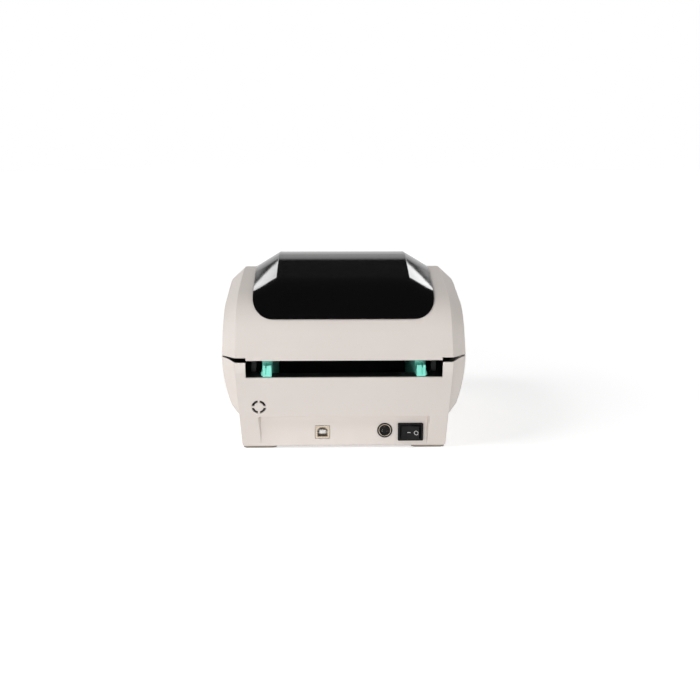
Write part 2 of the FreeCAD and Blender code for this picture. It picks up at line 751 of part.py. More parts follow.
def latch_slot():
    """The window in a cheek that the release tab moves in."""
    half_z = LATCH_TAB_HEIGHT / 2 + LATCH_TAB_GAP
    rear = LATCH_Y + LATCH_TAB_LENGTH / 2 + 2 * FIT_GAP
    front = LATCH_Y - LATCH_TAB_LENGTH / 2 - LATCH_TAB_TRAVEL
    return box((LATCH_X + LATCH_THICK, front, LATCH_TAB_Z - half_z), (FAR, rear, LATCH_TAB_Z + half_z))


def front_wall_y(z):
    return -rear_y(z)


def lower_housing():
    outer = base_form(0, BASE_Z)
    shell = outer.cut(base_form(WALL, BASE_Z - PAST))
    panel_half = RECESS_HALF + WALL
    panel = box((-panel_half, PANEL_IN_Y, BASE_Z), (panel_half, REAR_Y, RECESS_TOP_Z + WALL))
    collar = ring((0, 1, 0), (VENT_X, buzzer_face_y() - COLLAR_GRIP, VENT_Z), 2 * BUZZER_HEIGHT,
                  VENT_RADIUS + RUN_GAP + COLLAR_WALL, VENT_RADIUS + RUN_GAP)
    posts = [rod((0, -1, 0), (x, KEY_BOARD_Y, z), -FRONT_Y, KEY_POST_RADIUS) for x, z in key_board_posts()]
    shell = fuse(shell, *[piece.common(outer) for piece in (panel, collar, *posts, *screw_bosses())])
    slot = box((-SLOT_HALF, BRACKET_REAR_Y, SLOT_Z), (SLOT_HALF, FAR, FAR))
    wide, high = HALF + PAST, PARTING_Z + PAST
    rise_x, rise_z = HALF - SHOULDER_RISE_IN, PARTING_Z - SHOULDER_RISE_DROP
    shoulder = [
        (-wide, PARTING_Z, 0), (-rise_x, rise_z, 0), (-REAR_SHOULDER_HALF, REAR_SHOULDER_Z, 0),
        (REAR_SHOULDER_HALF, REAR_SHOULDER_Z, 0), (rise_x, rise_z, 0), (wide, PARTING_Z, 0),
        (wide, high, 0), (-wide, high, 0),
    ]
    shoulders = prism("XZ", REAR_Y - CHEEK_BEVEL_Y - SHOULDER_LEAD, REAR_Y + PAST, shoulder)
    exit_gap = box((-EXIT_HALF, -FAR, EXIT_Z), (EXIT_HALF, KEY_BOARD_Y, FAR))
    tab_slot = latch_slot()
    return cut(
        shell, slot, shoulders, swing_relief(), recess_space(), vent_slots(), exit_gap,
        tab_slot, mirrored(tab_slot), *panel_holes(), *front_holes(),
        *[rod((0, 0, 1), (x, y, BASE_Z), BOSS_HEIGHT, SCREW_RADIUS + RUN_GAP) for x, y in screw_places()],
    )


def panel_holes():
    """Holes in the recess panel for the two sockets and the switch."""
    usb = box(
        (USB_X - USB_WIDTH / 2 - FIT_GAP, PANEL_IN_Y, USB_Z - USB_HEIGHT / 2 - FIT_GAP),
        (USB_X + USB_WIDTH / 2 + FIT_GAP, REAR_Y, USB_Z + USB_HEIGHT / 2 + FIT_GAP),
    )
    din = rod((0, 1, 0), (DIN_X, PANEL_IN_Y, DIN_Z), WALL, DIN_RADIUS + RUN_GAP)
    half_x, half_z = SWITCH_BODY_WIDTH / 2 + RUN_GAP, SWITCH_BODY_HEIGHT / 2 + RUN_GAP
    switch = box(
        (SWITCH_X - half_x, PANEL_IN_Y, SWITCH_Z - half_z),
        (SWITCH_X + half_x, REAR_Y, SWITCH_Z + half_z),
    )
    return usb, din, switch


def front_holes():
    """Holes in the front wall for the feed button and the status light."""
    reach = KEY_BOARD_Y - FRONT_Y
    button = rod((0, 1, 0), (BUTTON_X, FRONT_Y, BUTTON_Z), reach, BUTTON_RADIUS + FIT_GAP)
    lamp = rod((0, 1, 0), (BUTTON_X, FRONT_Y, LED_Z), reach, LED_RADIUS + RUN_GAP)
    return button, lamp


def bottom_plate():
    half_x = CORE_HALF_BOTTOM - WALL - FIT_GAP
    half_y = FOOTPRINT_Y - WALL - FIT_GAP
    plate = box((-half_x, -half_y, BASE_Z), (half_x, half_y, FLOOR_Z))
    pillars = []
    for x in (BOARD_MIN_X + STANDOFF_IN, BOARD_MAX_X - STANDOFF_IN):
        for y in (BOARD_REAR_Y - STANDOFF_IN, BOARD_REAR_Y - BOARD_DEPTH + STANDOFF_IN):
            pillars.append(rod((0, 0, 1), (x, y, FLOOR_Z), BOARD_Z - FLOOR_Z, STANDOFF_RADIUS))
    holes = []
    for x, y in screw_places():
        holes.append(rod((0, 0, 1), (x, y, BASE_Z), BOTTOM_THICK, SCREW_RADIUS + FIT_GAP))
        holes.append(rod((0, 0, 1), (x, y, BASE_Z), SCREW_HEAD_HEIGHT, SCREW_HEAD_RADIUS + FIT_GAP))
    return cut(fuse(plate, *pillars), *holes)


def bottom_screws():
    screws = []
    long, thin, top = SCREW_SLOT_REACH, SCREW_SLOT_WIDTH / 2, BASE_Z + SCREW_SLOT_DEPTH
    for x, y in screw_places():
        head = rod((0, 0, 1), (x, y, BASE_Z), SCREW_HEAD_HEIGHT, SCREW_HEAD_RADIUS)
        shank = rod((0, 0, 1), (x, y, BASE_Z), SCREW_LENGTH, SCREW_RADIUS)
        slots = [box((x - a, y - b, BASE_Z), (x + a, y + b, top)) for a, b in ((long, thin), (thin, long))]
        screws.append(cut(fuse(head, shank), *slots))
    return Part.makeCompound(screws)


def rubber_feet():
    x = CORE_HALF_BOTTOM - FOOT_EDGE_GAP - FOOT_WIDTH / 2
    y = FOOTPRINT_Y - FOOT_REAR_GAP - FOOT_DEPTH / 2
    feet = []
    for place_x in (-x, x):
        for place_y in (-y, y):
            corners = [
                (place_x + a * FOOT_WIDTH / 2, place_y + b * FOOT_DEPTH / 2, FOOT_ROUND)
                for a, b in ((-1, -1), (1, -1), (1, 1), (-1, 1))
            ]
            feet.append(prism("XY", 0, FOOT_HEIGHT, corners))
    return Part.makeCompound(feet)


# Sockets, switch and boards

def main_board():
    return box((BOARD_MIN_X, BOARD_REAR_Y - BOARD_DEPTH, BOARD_Z), (BOARD_MAX_X, BOARD_REAR_Y, BOARD_TOP_Z))


def usb_mouth(grow):
    """The D-shaped mouth of a square USB socket: its upper corners are cut off."""
    w, h, c = USB_MOUTH_WIDTH / 2 + grow, USB_MOUTH_HEIGHT / 2 + grow, USB_MOUTH_CORNER
    return [
        (USB_X - w, USB_Z - h, 0), (USB_X + w, USB_Z - h, 0), (USB_X + w, USB_Z + h - c, 0),
        (USB_X + w - c, USB_Z + h, 0), (USB_X - w + c, USB_Z + h, 0), (USB_X - w, USB_Z + h - c, 0),
    ]


def usb_socket_shell():
    block = box(
        (USB_X - USB_WIDTH / 2, RECESS_Y - USB_DEPTH, BOARD_TOP_Z),
        (USB_X + USB_WIDTH / 2, RECESS_Y, BOARD_TOP_Z + USB_HEIGHT),
    )
    return block.cut(prism("XZ", RECESS_Y - USB_DEPTH + USB_SHELL, RECESS_Y, usb_mouth(0)))


def usb_socket_tongue():
    back = RECESS_Y - USB_DEPTH + USB_SHELL
    half_x, half_z = USB_TONGUE_WIDTH / 2, USB_TONGUE_HEIGHT / 2
    face_y = RECESS_Y - USB_TONGUE_SHORT
    block = box((USB_X - half_x, back, USB_Z - half_z), (USB_X + half_x, face_y, USB_Z + half_z))
    return fuse(block, prism("XZ", back, back + USB_PLUG_DEPTH, usb_mouth(-RUN_GAP)))


def power_socket_body():
    y = DIN_FACE_Y - DIN_DEPTH
    barrel = rod((0, 1, 0), (DIN_X, y, DIN_Z), DIN_DEPTH, DIN_RADIUS)
    foot = box((DIN_X - DIN_RADIUS, y, BOARD_TOP_Z), (DIN_X + DIN_RADIUS, BOARD_REAR_Y, DIN_Z))
    return cut(fuse(barrel, foot), rod((0, 1, 0), (DIN_X, DIN_BACK_Y, DIN_Z), DIN_DEPTH, DIN_SHELL_RADIUS))


def power_socket_ring():
    length = DIN_DEPTH - DIN_BACK - DIN_RING_SHORT
    inner = DIN_SHELL_RADIUS - DIN_SHELL
    return ring((0, 1, 0), (DIN_X, DIN_BACK_Y, DIN_Z), length, DIN_SHELL_RADIUS, inner)


def power_socket_insert():
    """The insulator inside the ring, with three contact holes and a key at the top."""
    radius = DIN_SHELL_RADIUS - DIN_SHELL
    core = rod((0, 1, 0), (DIN_X, DIN_BACK_Y, DIN_Z), DIN_DEPTH - DIN_BACK - DIN_INSERT_SHORT, radius)
    start_y = DIN_BACK_Y + DIN_BACK
    holes = []
    for turn in DIN_PIN_DEGREES:
        x = DIN_X + DIN_PIN_CIRCLE * math.cos(math.radians(turn))
        z = DIN_Z - DIN_PIN_CIRCLE * math.sin(math.radians(turn))
        holes.append(rod((0, 1, 0), (x, start_y, z), DIN_DEPTH, DIN_PIN_RADIUS))
    half = DIN_KEY_WIDTH / 2
    top = DIN_Z + radius
    key = box((DIN_X - half, start_y, top - DIN_KEY_DEPTH), (DIN_X + half, DIN_FACE_Y, top))
    return cut(core, key, *holes)


def switch_frame():
    half_w, half_h = SWITCH_WIDTH / 2, SWITCH_HEIGHT / 2
    rim = [
        (SWITCH_X + a * half_w, SWITCH_Z + b * half_h, SWITCH_ROUND)
        for a, b in ((-1, -1), (1, -1), (1, 1), (-1, 1))
    ]
    bezel = prism("XZ", RECESS_Y, SWITCH_FACE_Y, rim)
    body = box(
        (SWITCH_X - SWITCH_BODY_WIDTH / 2, RECESS_Y - SWITCH_BODY_DEPTH, SWITCH_Z - SWITCH_BODY_HEIGHT / 2),
        (SWITCH_X + SWITCH_BODY_WIDTH / 2, RECESS_Y, SWITCH_Z + SWITCH_BODY_HEIGHT / 2),
    )
    opening = box(
        (
            SWITCH_X - ROCKER_OPENING / 2,
            SWITCH_FACE_Y - ROCKER_CAVITY,
            SWITCH_Z - ROCKER_HEIGHT / 2 - FIT_GAP,
        ),
        (SWITCH_X + ROCKER_OPENING / 2, FAR, SWITCH_Z + ROCKER_HEIGHT / 2 + FIT_GAP),
    )
    pin_z = SWITCH_Z - SWITCH_BODY_HEIGHT / 2
    pivot_y = SWITCH_FACE_Y - ROCKER_PIVOT_IN
    pin = rod((0, 0, 1), (SWITCH_X, pivot_y, pin_z), SWITCH_BODY_HEIGHT, ROCKER_PIN_RADIUS)
    return fuse(cut(fuse(bezel, body), opening), pin)


def switch_rocker():
    """The rocker at rest, with its +X half pressed in."""
    w = ROCKER_WIDTH / 2
    y = SWITCH_FACE_Y
    outline = [
        (SWITCH_X - w, y - ROCKER_BACK, ROCKER_EDGE), (SWITCH_X + w, y - ROCKER_BACK, ROCKER_EDGE),
        (SWITCH_X + w, y + ROCKER_END_PROUD, ROCKER_EDGE),
        (SWITCH_X, y + ROCKER_DIP_PROUD, ROCKER_DIP_ROUND),
        (SWITCH_X - w, y + ROCKER_END_PROUD, ROCKER_EDGE),
    ]
    rocker = prism("XY", SWITCH_Z - ROCKER_HEIGHT / 2, SWITCH_Z + ROCKER_HEIGHT / 2, outline)
    pivot = V(SWITCH_X, SWITCH_FACE_Y - ROCKER_PIVOT_IN, SWITCH_Z)
    low = SWITCH_Z - ROCKER_HEIGHT / 2
    bore = rod((0, 0, 1), (pivot.x, pivot.y, low), ROCKER_HEIGHT, ROCKER_PIN_RADIUS + RUN_GAP)
    rocker = rocker.cut(bore)
    rocker.rotate(pivot, V(0, 0, 1), -ROCKER_TILT)
    return rocker


def buzzer_face_y():
    return rear_y(VENT_Z - VENT_RADIUS) - WALL - 2 * FIT_GAP


def buzzer():
    start = (VENT_X, buzzer_face_y(), VENT_Z)
    body = rod((0, -1, 0), start, BUZZER_HEIGHT, VENT_RADIUS)
    return body.cut(rod((0, -1, 0), start, BUZZER_HOLE_DEPTH, BUZZER_HOLE_RADIUS))


def key_board_posts():
    low_z = KEY_BOARD_Z + KEY_POST_INSET
    high_z = KEY_BOARD_Z + KEY_BOARD_HEIGHT - KEY_POST_INSET
    return [(BUTTON_X - KEY_POST_X, low_z), (BUTTON_X + KEY_POST_X, high_z)]


def key_board():
    return box(
        (BUTTON_X - KEY_BOARD_WIDTH / 2, KEY_BOARD_Y, KEY_BOARD_Z),
        (BUTTON_X + KEY_BOARD_WIDTH / 2, KEY_BOARD_Y + BOARD_THICK, KEY_BOARD_Z + KEY_BOARD_HEIGHT),
    )


def feed_button():
    face = front_wall_y(BUTTON_Z) - BUTTON_PROUD
    stem = rod((0, 1, 0), (BUTTON_X, face, BUTTON_Z), BUTTON_LENGTH, BUTTON_RADIUS)
    rim = max(stem.Edges, key=lambda e: (e.Curve.TypeId == "Part::GeomCircle", -e.CenterOfMass.y))
    stem = stem.makeFillet(BUTTON_EDGE, [rim])
    flange_y = front_wall_y(BUTTON_Z) + WALL + BUTTON_FLANGE_GAP
    wide = BUTTON_RADIUS + BUTTON_FLANGE
    flange = rod((0, 1, 0), (BUTTON_X, flange_y, BUTTON_Z), BUTTON_FLANGE_THICK, wide)
    return fuse(stem, flange)


def status_light():
    start = front_wall_y(LED_Z) - LED_PROUD
    return rod((0, 1, 0), (BUTTON_X, start, LED_Z), KEY_BOARD_Y - start, LED_RADIUS)


# Media bay, hinge and roll holders

def across(y, z, radius, half):
    """A rod along X, centred on the middle plane."""
    return rod((1, 0, 0), (-half, y, z), 2 * half, radius)


def media_bay():
    deck = box((-DECK_HALF, DECK_FRONT_Y, DECK_Z - BAY_WALL), (DECK_HALF, DECK_REAR_Y, DECK_Z))
    gear_room = box(
        (-DECK_HALF, DECK_FRONT_Y, DECK_Z - BAY_WALL),
        (-PLATE_OUT_X, DECK_FRONT_Y + GEAR_ROOM, DECK_Z),
    )
    trough = across(BAY_Y, BAY_Z, BAY_RADIUS + BAY_WALL, BAY_HALF + BAY_WALL).common(below(DECK_Z))
    legs = []
    for y in (BAY_Y + DECK_LEG_FRONT, BAY_Y + DECK_LEG_REAR):
        leg = box((DECK_LEG_X, y, FLOOR_Z), (DECK_LEG_X + DECK_LEG, y + DECK_LEG_LENGTH, DECK_Z - BAY_WALL))
        legs += [leg, mirrored(leg)]
    pin_height = BAY_Z - BAY_RADIUS - FLOOR_Z
    pin = rod((0, 0, 1), (0, BAY_Y, FLOOR_Z), pin_height, PINION_PIN_RADIUS)
    bay = fuse(deck.cut(gear_room), trough, *legs)
    bay = cut(bay, across(BAY_Y, BAY_Z, BAY_RADIUS, BAY_HALF), neck_slot(), turned(neck_slot()))
    return fuse(bay, pin)


def turned(shape):
    """A copy turned half a turn about the upright line through the guide pinion."""
    copy = shape.copy()
    copy.rotate(V(0, BAY_Y, 0), V(0, 0, 1), 180)
    return copy


def rack_back_y():
    """Where the solid back of the +X guide's rack begins, behind its teeth."""
    return BAY_Y + RACK_MODULE * (PINION_TEETH / 2 + TOOTH_ROOT)


def neck_slot():
    y = rack_back_y()
    return box(
        (GUIDE_INNER - GUIDE_TRAVEL - FIT_GAP, y - FIT_GAP, FLOOR_Z),
        (GUIDE_INNER + GUIDE_THICK + FIT_GAP, y + RACK_BODY + FIT_GAP, GUIDE_NECK_TOP),
    )


def hinge_bracket():
    """The gooseneck on the +X side that carries the lid's pin clear of the lid's swinging lip."""
    low, high = HINGE_Z - KNUCKLE_RADIUS, HINGE_Z + KNUCKLE_RADIUS
    outline = [
        (BRACKET_FRONT_Y, DECK_Z, 0), (BRACKET_REAR_Y, DECK_Z, 0), (BRACKET_REAR_Y, low, BRACKET_NECK),
        (HINGE_Y, low, 0), (HINGE_Y, high, 0), (BRACKET_FRONT_Y, high, KNUCKLE_RADIUS),
    ]
    arm = prism("YZ", BRACKET_X, BRACKET_X + BRACKET_THICK, outline)
    knuckle = rod((1, 0, 0), (BRACKET_X, HINGE_Y, HINGE_Z), BRACKET_THICK, KNUCKLE_RADIUS)
    bore = rod((1, 0, 0), (BRACKET_X, HINGE_Y, HINGE_Z), BRACKET_THICK, HINGE_PIN_RADIUS)
    return cut(fuse(arm, knuckle), bore)


def hinge_pins():
    length = RIB_X + RIB_THICK - BRACKET_X
    return both_sides(rod((1, 0, 0), (BRACKET_X, HINGE_Y, HINGE_Z), length, HINGE_PIN_RADIUS))


def gear_teeth(teeth, module, phase):
    """Corners of a spur gear with straight-sided teeth around the origin, one tooth centred on the phase."""
    pitch = module * teeth / 2
    tip, root = pitch + module, pitch - TOOTH_ROOT * module
    thin = math.pi * module / 2 - BACKLASH
    widths = (
        (root, thin + 2 * TOOTH_ROOT * module * TOOTH_SLOPE),
        (pitch, thin),
        (tip, thin - 2 * module * TOOTH_SLOPE),
    )
    points = []
    for i in range(teeth):
        middle = phase + 2 * math.pi * i / teeth
        rising = [(r, middle - w / (2 * r)) for r, w in widths]
        falling = [(r, middle + w / (2 * r)) for r, w in reversed(widths)]
        points += [(r * math.cos(a), r * math.sin(a), 0) for r, a in rising + falling]
    return points


def gear_across(teeth, centre, phase, bore):
    """A gear of the feed train, turning about X outside the -X side plate."""
    start = -GEAR_IN_X
    outline = [(y + centre[0], z + centre[1], r) for y, z, r in gear_teeth(teeth, GEAR_MODULE, phase)]
    wheel = prism("YZ", start, start - GEAR_WIDTH, outline)
    return wheel.cut(rod((-1, 0, 0), (start, *centre), GEAR_WIDTH, bore))


def rack_teeth():
    """Corners of the +X guide's rack, drawn in XY, with a gap facing the pinion's tooth at X = 0."""
    pitch = math.pi * RACK_MODULE
    line_y = BAY_Y + RACK_MODULE * PINION_TEETH / 2
    thin = pitch / 2 - BACKLASH
    tip_y, root_y = line_y - RACK_TIP * RACK_MODULE, rack_back_y()
    end_x = GUIDE_INNER + GUIDE_THICK
    half_root = thin / 2 + (root_y - line_y) * TOOTH_SLOPE
    half_tip = thin / 2 - (line_y - tip_y) * TOOTH_SLOPE
    points = []
    for i in range(-RACK_LEAD_TEETH, int((end_x - half_root) / pitch)):
        middle = (i + 0.5) * pitch
        points += [
            (middle - half_root, root_y, 0), (middle - half_tip, tip_y, 0),
            (middle + half_tip, tip_y, 0), (middle + half_root, root_y, 0),
        ]
    back_y = root_y + RACK_BODY
    start_x = -(RACK_LEAD_TEETH + 0.5) * pitch
    return [(start_x, root_y, 0)] + points + [(end_x, root_y, 0), (end_x, back_y, 0), (start_x, back_y, 0)]


def guide_arm():
    """The roll holder arm on the +X side with its rack; the -X one is the same form turned half a turn."""
    inner, outer = GUIDE_INNER, GUIDE_INNER + GUIDE_THICK
    web = rod((1, 0, 0), (inner, BAY_Y, BAY_Z), GUIDE_WEB, GUIDE_RADIUS)
    rim = ring((1, 0, 0), (inner, BAY_Y, BAY_Z), GUIDE_THICK, GUIDE_RADIUS, GUIDE_RADIUS - GUIDE_RIM)
    boss = rod((1, 0, 0), (inner, BAY_Y, BAY_Z), GUIDE_THICK, GUIDE_BOSS_RADIUS)
    pin = rod((-1, 0, 0), (inner, BAY_Y, BAY_Z), FIT_GAP + HUB_LENGTH, HUB_PIN_RADIUS)
    y = rack_back_y()
    neck = box((inner, y, RACK_Z), (outer, y + RACK_BODY, GUIDE_NECK_TOP))
    rack = prism("XY", RACK_Z, RACK_Z + RACK_HEIGHT, rack_teeth())
    return fuse(fuse(web, rim).common(below(GUIDE_TOP_Z)), boss, pin, neck, rack)


def guide_groove():
    """The upright groove in the rear edge of the +X guide's rim."""
    middle = GUIDE_INNER + GUIDE_THICK / 2
    rear = BAY_Y + GUIDE_RADIUS
    return box(
        (middle - GUIDE_GROOVE / 2, rear - 2 * GUIDE_RIM, GROOVE_LOW_Z),
        (middle + GUIDE_GROOVE / 2, rear + GUIDE_RIM, GROOVE_HIGH_Z),
    ).cut(across(BAY_Y, BAY_Z, GUIDE_RADIUS - GROOVE_DEPTH, FAR))


def guide_heel():
    """The flat heel that the +X guide slides on the deck, seen through the rear slot."""
    low = DECK_Z + FIT_GAP
    return box(
        (GUIDE_INNER, BAY_Y + GUIDE_RADIUS - 2 * GUIDE_RIM, low),
        (GUIDE_INNER + GUIDE_THICK, REAR_Y - GUIDE_HEEL_IN, low + GUIDE_HEEL_HEIGHT),
    ).cut(across(BAY_Y, BAY_Z, GUIDE_RADIUS - GUIDE_RIM, FAR))


def roll_guide_left():
    return fuse(guide_arm().cut(guide_groove()), guide_heel())


def roll_guide_right():
    return fuse(turned(guide_arm()).cut(mirrored(guide_groove())), mirrored(guide_heel()))


def roll_hub():
    """The turning disc on the +X guide's pin that the roll's core sits on."""
    start = GUIDE_INNER - FIT_GAP
    flange = rod((-1, 0, 0), (start, BAY_Y, BAY_Z), HUB_FLANGE_THICK, HUB_FLANGE_RADIUS)
    straight = HUB_LENGTH - HUB_NOSE
    drum = rod((-1, 0, 0), (start, BAY_Y, BAY_Z), straight, HUB_RADIUS)
    nose_at = V(start - straight, BAY_Y, BAY_Z)
    nose = Part.makeCone(HUB_RADIUS, HUB_RADIUS - HUB_NOSE, HUB_NOSE, nose_at, V(-1, 0, 0))
    bore = rod((-1, 0, 0), (start, BAY_Y, BAY_Z), HUB_LENGTH, HUB_PIN_RADIUS + RUN_GAP)
    pockets = []
    for i in range(HUB_POCKETS):
        turn = 2 * math.pi * i / HUB_POCKETS
        y, z = BAY_Y + HUB_POCKET_CIRCLE * math.cos(turn), BAY_Z + HUB_POCKET_CIRCLE * math.sin(turn)
        depth = HUB_LENGTH - HUB_FLANGE_THICK
        pockets.append(rod((1, 0, 0), (start - HUB_LENGTH, y, z), depth, HUB_POCKET_RADIUS))
    return cut(fuse(flange, drum, nose), bore, *pockets)


def guide_pinion():
    outline = [(x, y + BAY_Y, r) for x, y, r in gear_teeth(PINION_TEETH, RACK_MODULE, math.pi / 2)]
    wheel = prism("XY", RACK_Z, RACK_Z + RACK_HEIGHT, outline)
    return wheel.cut(rod((0, 0, 1), (0, BAY_Y, RACK_Z), RACK_HEIGHT, PINION_PIN_RADIUS + RUN_GAP))


# Lid

def lid_shell():
    shell = lid_form(0).cut(lid_form(WALL))
    lip = box((-LID_LIP_HALF, HINGE_Y, LID_LIP_Z), (LID_LIP_HALF, FAR, LID_EDGE_Z))
    shell = shell.common(fuse(above(LID_EDGE_Z), lip))
    exit_gap = box((-LID_EXIT_HALF, -FAR, LID_LIP_Z), (LID_EXIT_HALF, LATCH_Y, LID_EXIT_Z))
    return cut(shell, prism("XZ", -FAR, FAR, window_outline(WINDOW_RIM)), exit_gap)


def window():
    bubble = window_form(0).common(prism("XZ", -FAR, FAR, window_outline(0)))
    return cut(bubble, window_form(WINDOW_WALL), lid_form(0))


def lid_frame():
    """Two ribs under the lid with hinge knuckles, and the beam that carries the print head."""
    rib = prism("YZ", RIB_X, RIB_X + RIB_THICK, inset(lid_outline(), WALL + RUN_GAP))
    rib = rib.cut(prism("YZ", RIB_X, RIB_X + RIB_THICK, inset(lid_outline(), WALL + RIB_DEPTH)))
    rib = rib.common(above(RIB_LOW_Z))
    knuckle = rod((1, 0, 0), (RIB_X, HINGE_Y, HINGE_Z), RIB_THICK, KNUCKLE_RADIUS)
    stud_plate = box(
        (RIB_X, BEAM_FRONT_Y, STUD_PLATE_LOW_Z), (RIB_X + RIB_THICK, HEAD_REAR_Y, BEAM_Z + BEAM_THICK),
    ).common(prism("YZ", RIB_X, RIB_X + RIB_THICK, inset(lid_outline(), WALL + RUN_GAP)))
    bore = rod((1, 0, 0), (RIB_X, HINGE_Y, HINGE_Z), RIB_THICK, HINGE_PIN_RADIUS + RUN_GAP)
    side = cut(fuse(rib, knuckle, stud_plate), bore)
    beam = box((-RIB_X, BEAM_FRONT_Y, BEAM_Z), (RIB_X, BEAM_REAR_Y, BEAM_Z + BEAM_THICK))
    beam = beam.common(prism("YZ", -RIB_X, RIB_X, inset(lid_outline(), WALL + RUN_GAP)))
    ear = box(
        (HEAD_EAR_X, HEAD_PIVOT_Y - EAR_HALF, HEAD_PIVOT_Z - HEAD_LUG_TOP),
        (HEAD_EAR_X + EAR_THICK, HEAD_PIVOT_Y + EAR_HALF, BEAM_Z),
    ).cut(rod((1, 0, 0), (HEAD_EAR_X, HEAD_PIVOT_Y, HEAD_PIVOT_Z), EAR_THICK, HEAD_PIVOT_RADIUS))
    return fuse(side, mirrored(side), beam, ear, mirrored(ear))


def latch_studs():
    start = RIB_X + RIB_THICK
    length = LATCH_X + LATCH_THICK - start
    return both_sides(rod((1, 0, 0), (start, LATCH_STUD_Y, LATCH_STUD_Z), length, LATCH_STUD_RADIUS))


def head_pivot_pins():
    length = HEAD_EAR_X + EAR_THICK - HEAD_LUG_X
    return both_sides(rod((1, 0, 0), (HEAD_LUG_X, HEAD_PIVOT_Y, HEAD_PIVOT_Z), length, HEAD_PIVOT_RADIUS))


def head_springs():
    """Two coil springs that press the print head down, between its plate and the lid's beam."""
    low = HEAD_PLATE_TOP_Z + SPRING_WIRE
    height = BEAM_Z - HEAD_PLATE_TOP_Z - 2 * SPRING_WIRE
    path = Part.makeHelix(height / SPRING_TURNS, height, SPRING_RADIUS)
    start = Part.Wire(Part.makeCircle(SPRING_WIRE, V(SPRING_RADIUS, 0, 0), V(0, 1, 0)))
    coil = path.makePipeShell([start], True, True)
    coil.translate(V(SPRING_X, SPRING_Y, low))
    return both_sides(coil)


# Print head

def print_head():
    return box((-PLATEN_HALF, HEAD_FRONT_Y, HEAD_Z), (PLATEN_HALF, HEAD_REAR_Y, SINK_Z))


def heat_sink():
    block = box((-PLATEN_HALF, HEAD_FRONT_Y, SINK_Z), (PLATEN_HALF, HEAD_REAR_Y, HEAD_PLATE_Z))
    grooves = []
    for side in (-1, 1):
        for i in range(SINK_GROOVES):
            x = side * (HEAD_PLATE_HALF + SINK_PITCH * i) - SINK_GROOVE / 2
            low = HEAD_PLATE_Z - SINK_GROOVE_DEPTH
            grooves.append(box((x, HEAD_FRONT_Y, low), (x + SINK_GROOVE, HEAD_REAR_Y, HEAD_PLATE_Z)))
    return cut(block, *grooves)


def head_bracket():
    plate = box(
        (-HEAD_PLATE_HALF, HEAD_FRONT_Y + WALL, HEAD_PLATE_Z),
        (HEAD_PLATE_HALF, HEAD_PIVOT_Y + EAR_HALF, HEAD_PLATE_TOP_Z),
    )
    lug = box(
        (HEAD_LUG_X, HEAD_PIVOT_Y - EAR_HALF, HEAD_PLATE_Z),
        (HEAD_LUG_X + EAR_THICK, HEAD_PIVOT_Y + EAR_HALF, HEAD_PIVOT_Z + HEAD_LUG_TOP),
    )
    bore = across(HEAD_PIVOT_Y, HEAD_PIVOT_Z, HEAD_PIVOT_RADIUS + RUN_GAP, HEAD_EAR_X)
    return cut(fuse(plate, lug, mirrored(lug)), bore)


# Feed train

def train_places():
    """Centres of motor, idler and platen in YZ; the idler meshes with both from behind."""
    motor, platen = V(MOTOR_Y, MOTOR_Z, 0), V(PLATEN_Y, PLATEN_Z, 0)
    near = GEAR_MODULE * (MOTOR_TEETH + IDLER_TEETH) / 2
    far = GEAR_MODULE * (PLATEN_TEETH + IDLER_TEETH) / 2
    line = platen - motor
    share = (near ** 2 - far ** 2 + line.Length ** 2) / (2 * line.Length)
    aside = math.sqrt(near ** 2 - share ** 2)
    along = V(line).normalize()
    idler = motor + along * share + V(along.y, -along.x, 0) * aside
    return (motor.x, motor.y), (idler.x, idler.y), (platen.x, platen.y)


def train_phases():
    """Tooth angles that let the three gears mesh: motor tooth to idler gap, idler tooth to platen gap."""
    motor, idler, platen = train_places()
    to_idler = math.atan2(idler[1] - motor[1], idler[0] - motor[0])
    idler_phase = to_idler + math.pi + math.pi / IDLER_TEETH
    to_platen = math.atan2(platen[1] - idler[1], platen[0] - idler[0])
    step = 2 * math.pi / IDLER_TEETH
    lag = (idler_phase - to_platen + step / 2) % step - step / 2
    platen_phase = to_platen + math.pi - lag * IDLER_TEETH / PLATEN_TEETH + math.pi / PLATEN_TEETH
    return to_idler, idler_phase, platen_phase


def platen_roller():
    return across(PLATEN_Y, PLATEN_Z, PLATEN_RADIUS, PLATEN_HALF).cut(
        across(PLATEN_Y, PLATEN_Z, PLATEN_SHAFT_RADIUS, PLATEN_HALF))


def platen_shaft():
    length = GEAR_OUT_X + PLATE_X + BUSH_LENGTH
    return rod((1, 0, 0), (-GEAR_OUT_X, PLATEN_Y, PLATEN_Z), length, PLATEN_SHAFT_RADIUS)


def platen_gear():
    return gear_across(PLATEN_TEETH, train_places()[2], train_phases()[2], PLATEN_SHAFT_RADIUS)


def idler_gear():
    return gear_across(IDLER_TEETH, train_places()[1], train_phases()[1], IDLER_PIN_RADIUS + RUN_GAP)


def motor_rotor():
    """Motor shaft and pinion, one turning piece."""
    pinion = gear_across(MOTOR_TEETH, train_places()[0], train_phases()[0], MOTOR_SHAFT_RADIUS)
    length = GEAR_OUT_X - PLATE_X + MOTOR_LENGTH / 2
    return fuse(pinion, rod((1, 0, 0), (-GEAR_OUT_X, MOTOR_Y, MOTOR_Z), length, MOTOR_SHAFT_RADIUS))


def motor_body():
    body = rod((1, 0, 0), (-PLATE_X, MOTOR_Y, MOTOR_Z), MOTOR_LENGTH, MOTOR_RADIUS)
    start = (-PLATE_X, MOTOR_Y, MOTOR_Z)
    return body.cut(rod((1, 0, 0), start, MOTOR_LENGTH / 2, MOTOR_SHAFT_RADIUS + RUN_GAP))


def idler_pin():
    y, z = train_places()[1]
    start = -PLATE_OUT_X
    return rod((-1, 0, 0), (start, y, z), GEAR_GAP + GEAR_WIDTH, IDLER_PIN_RADIUS)


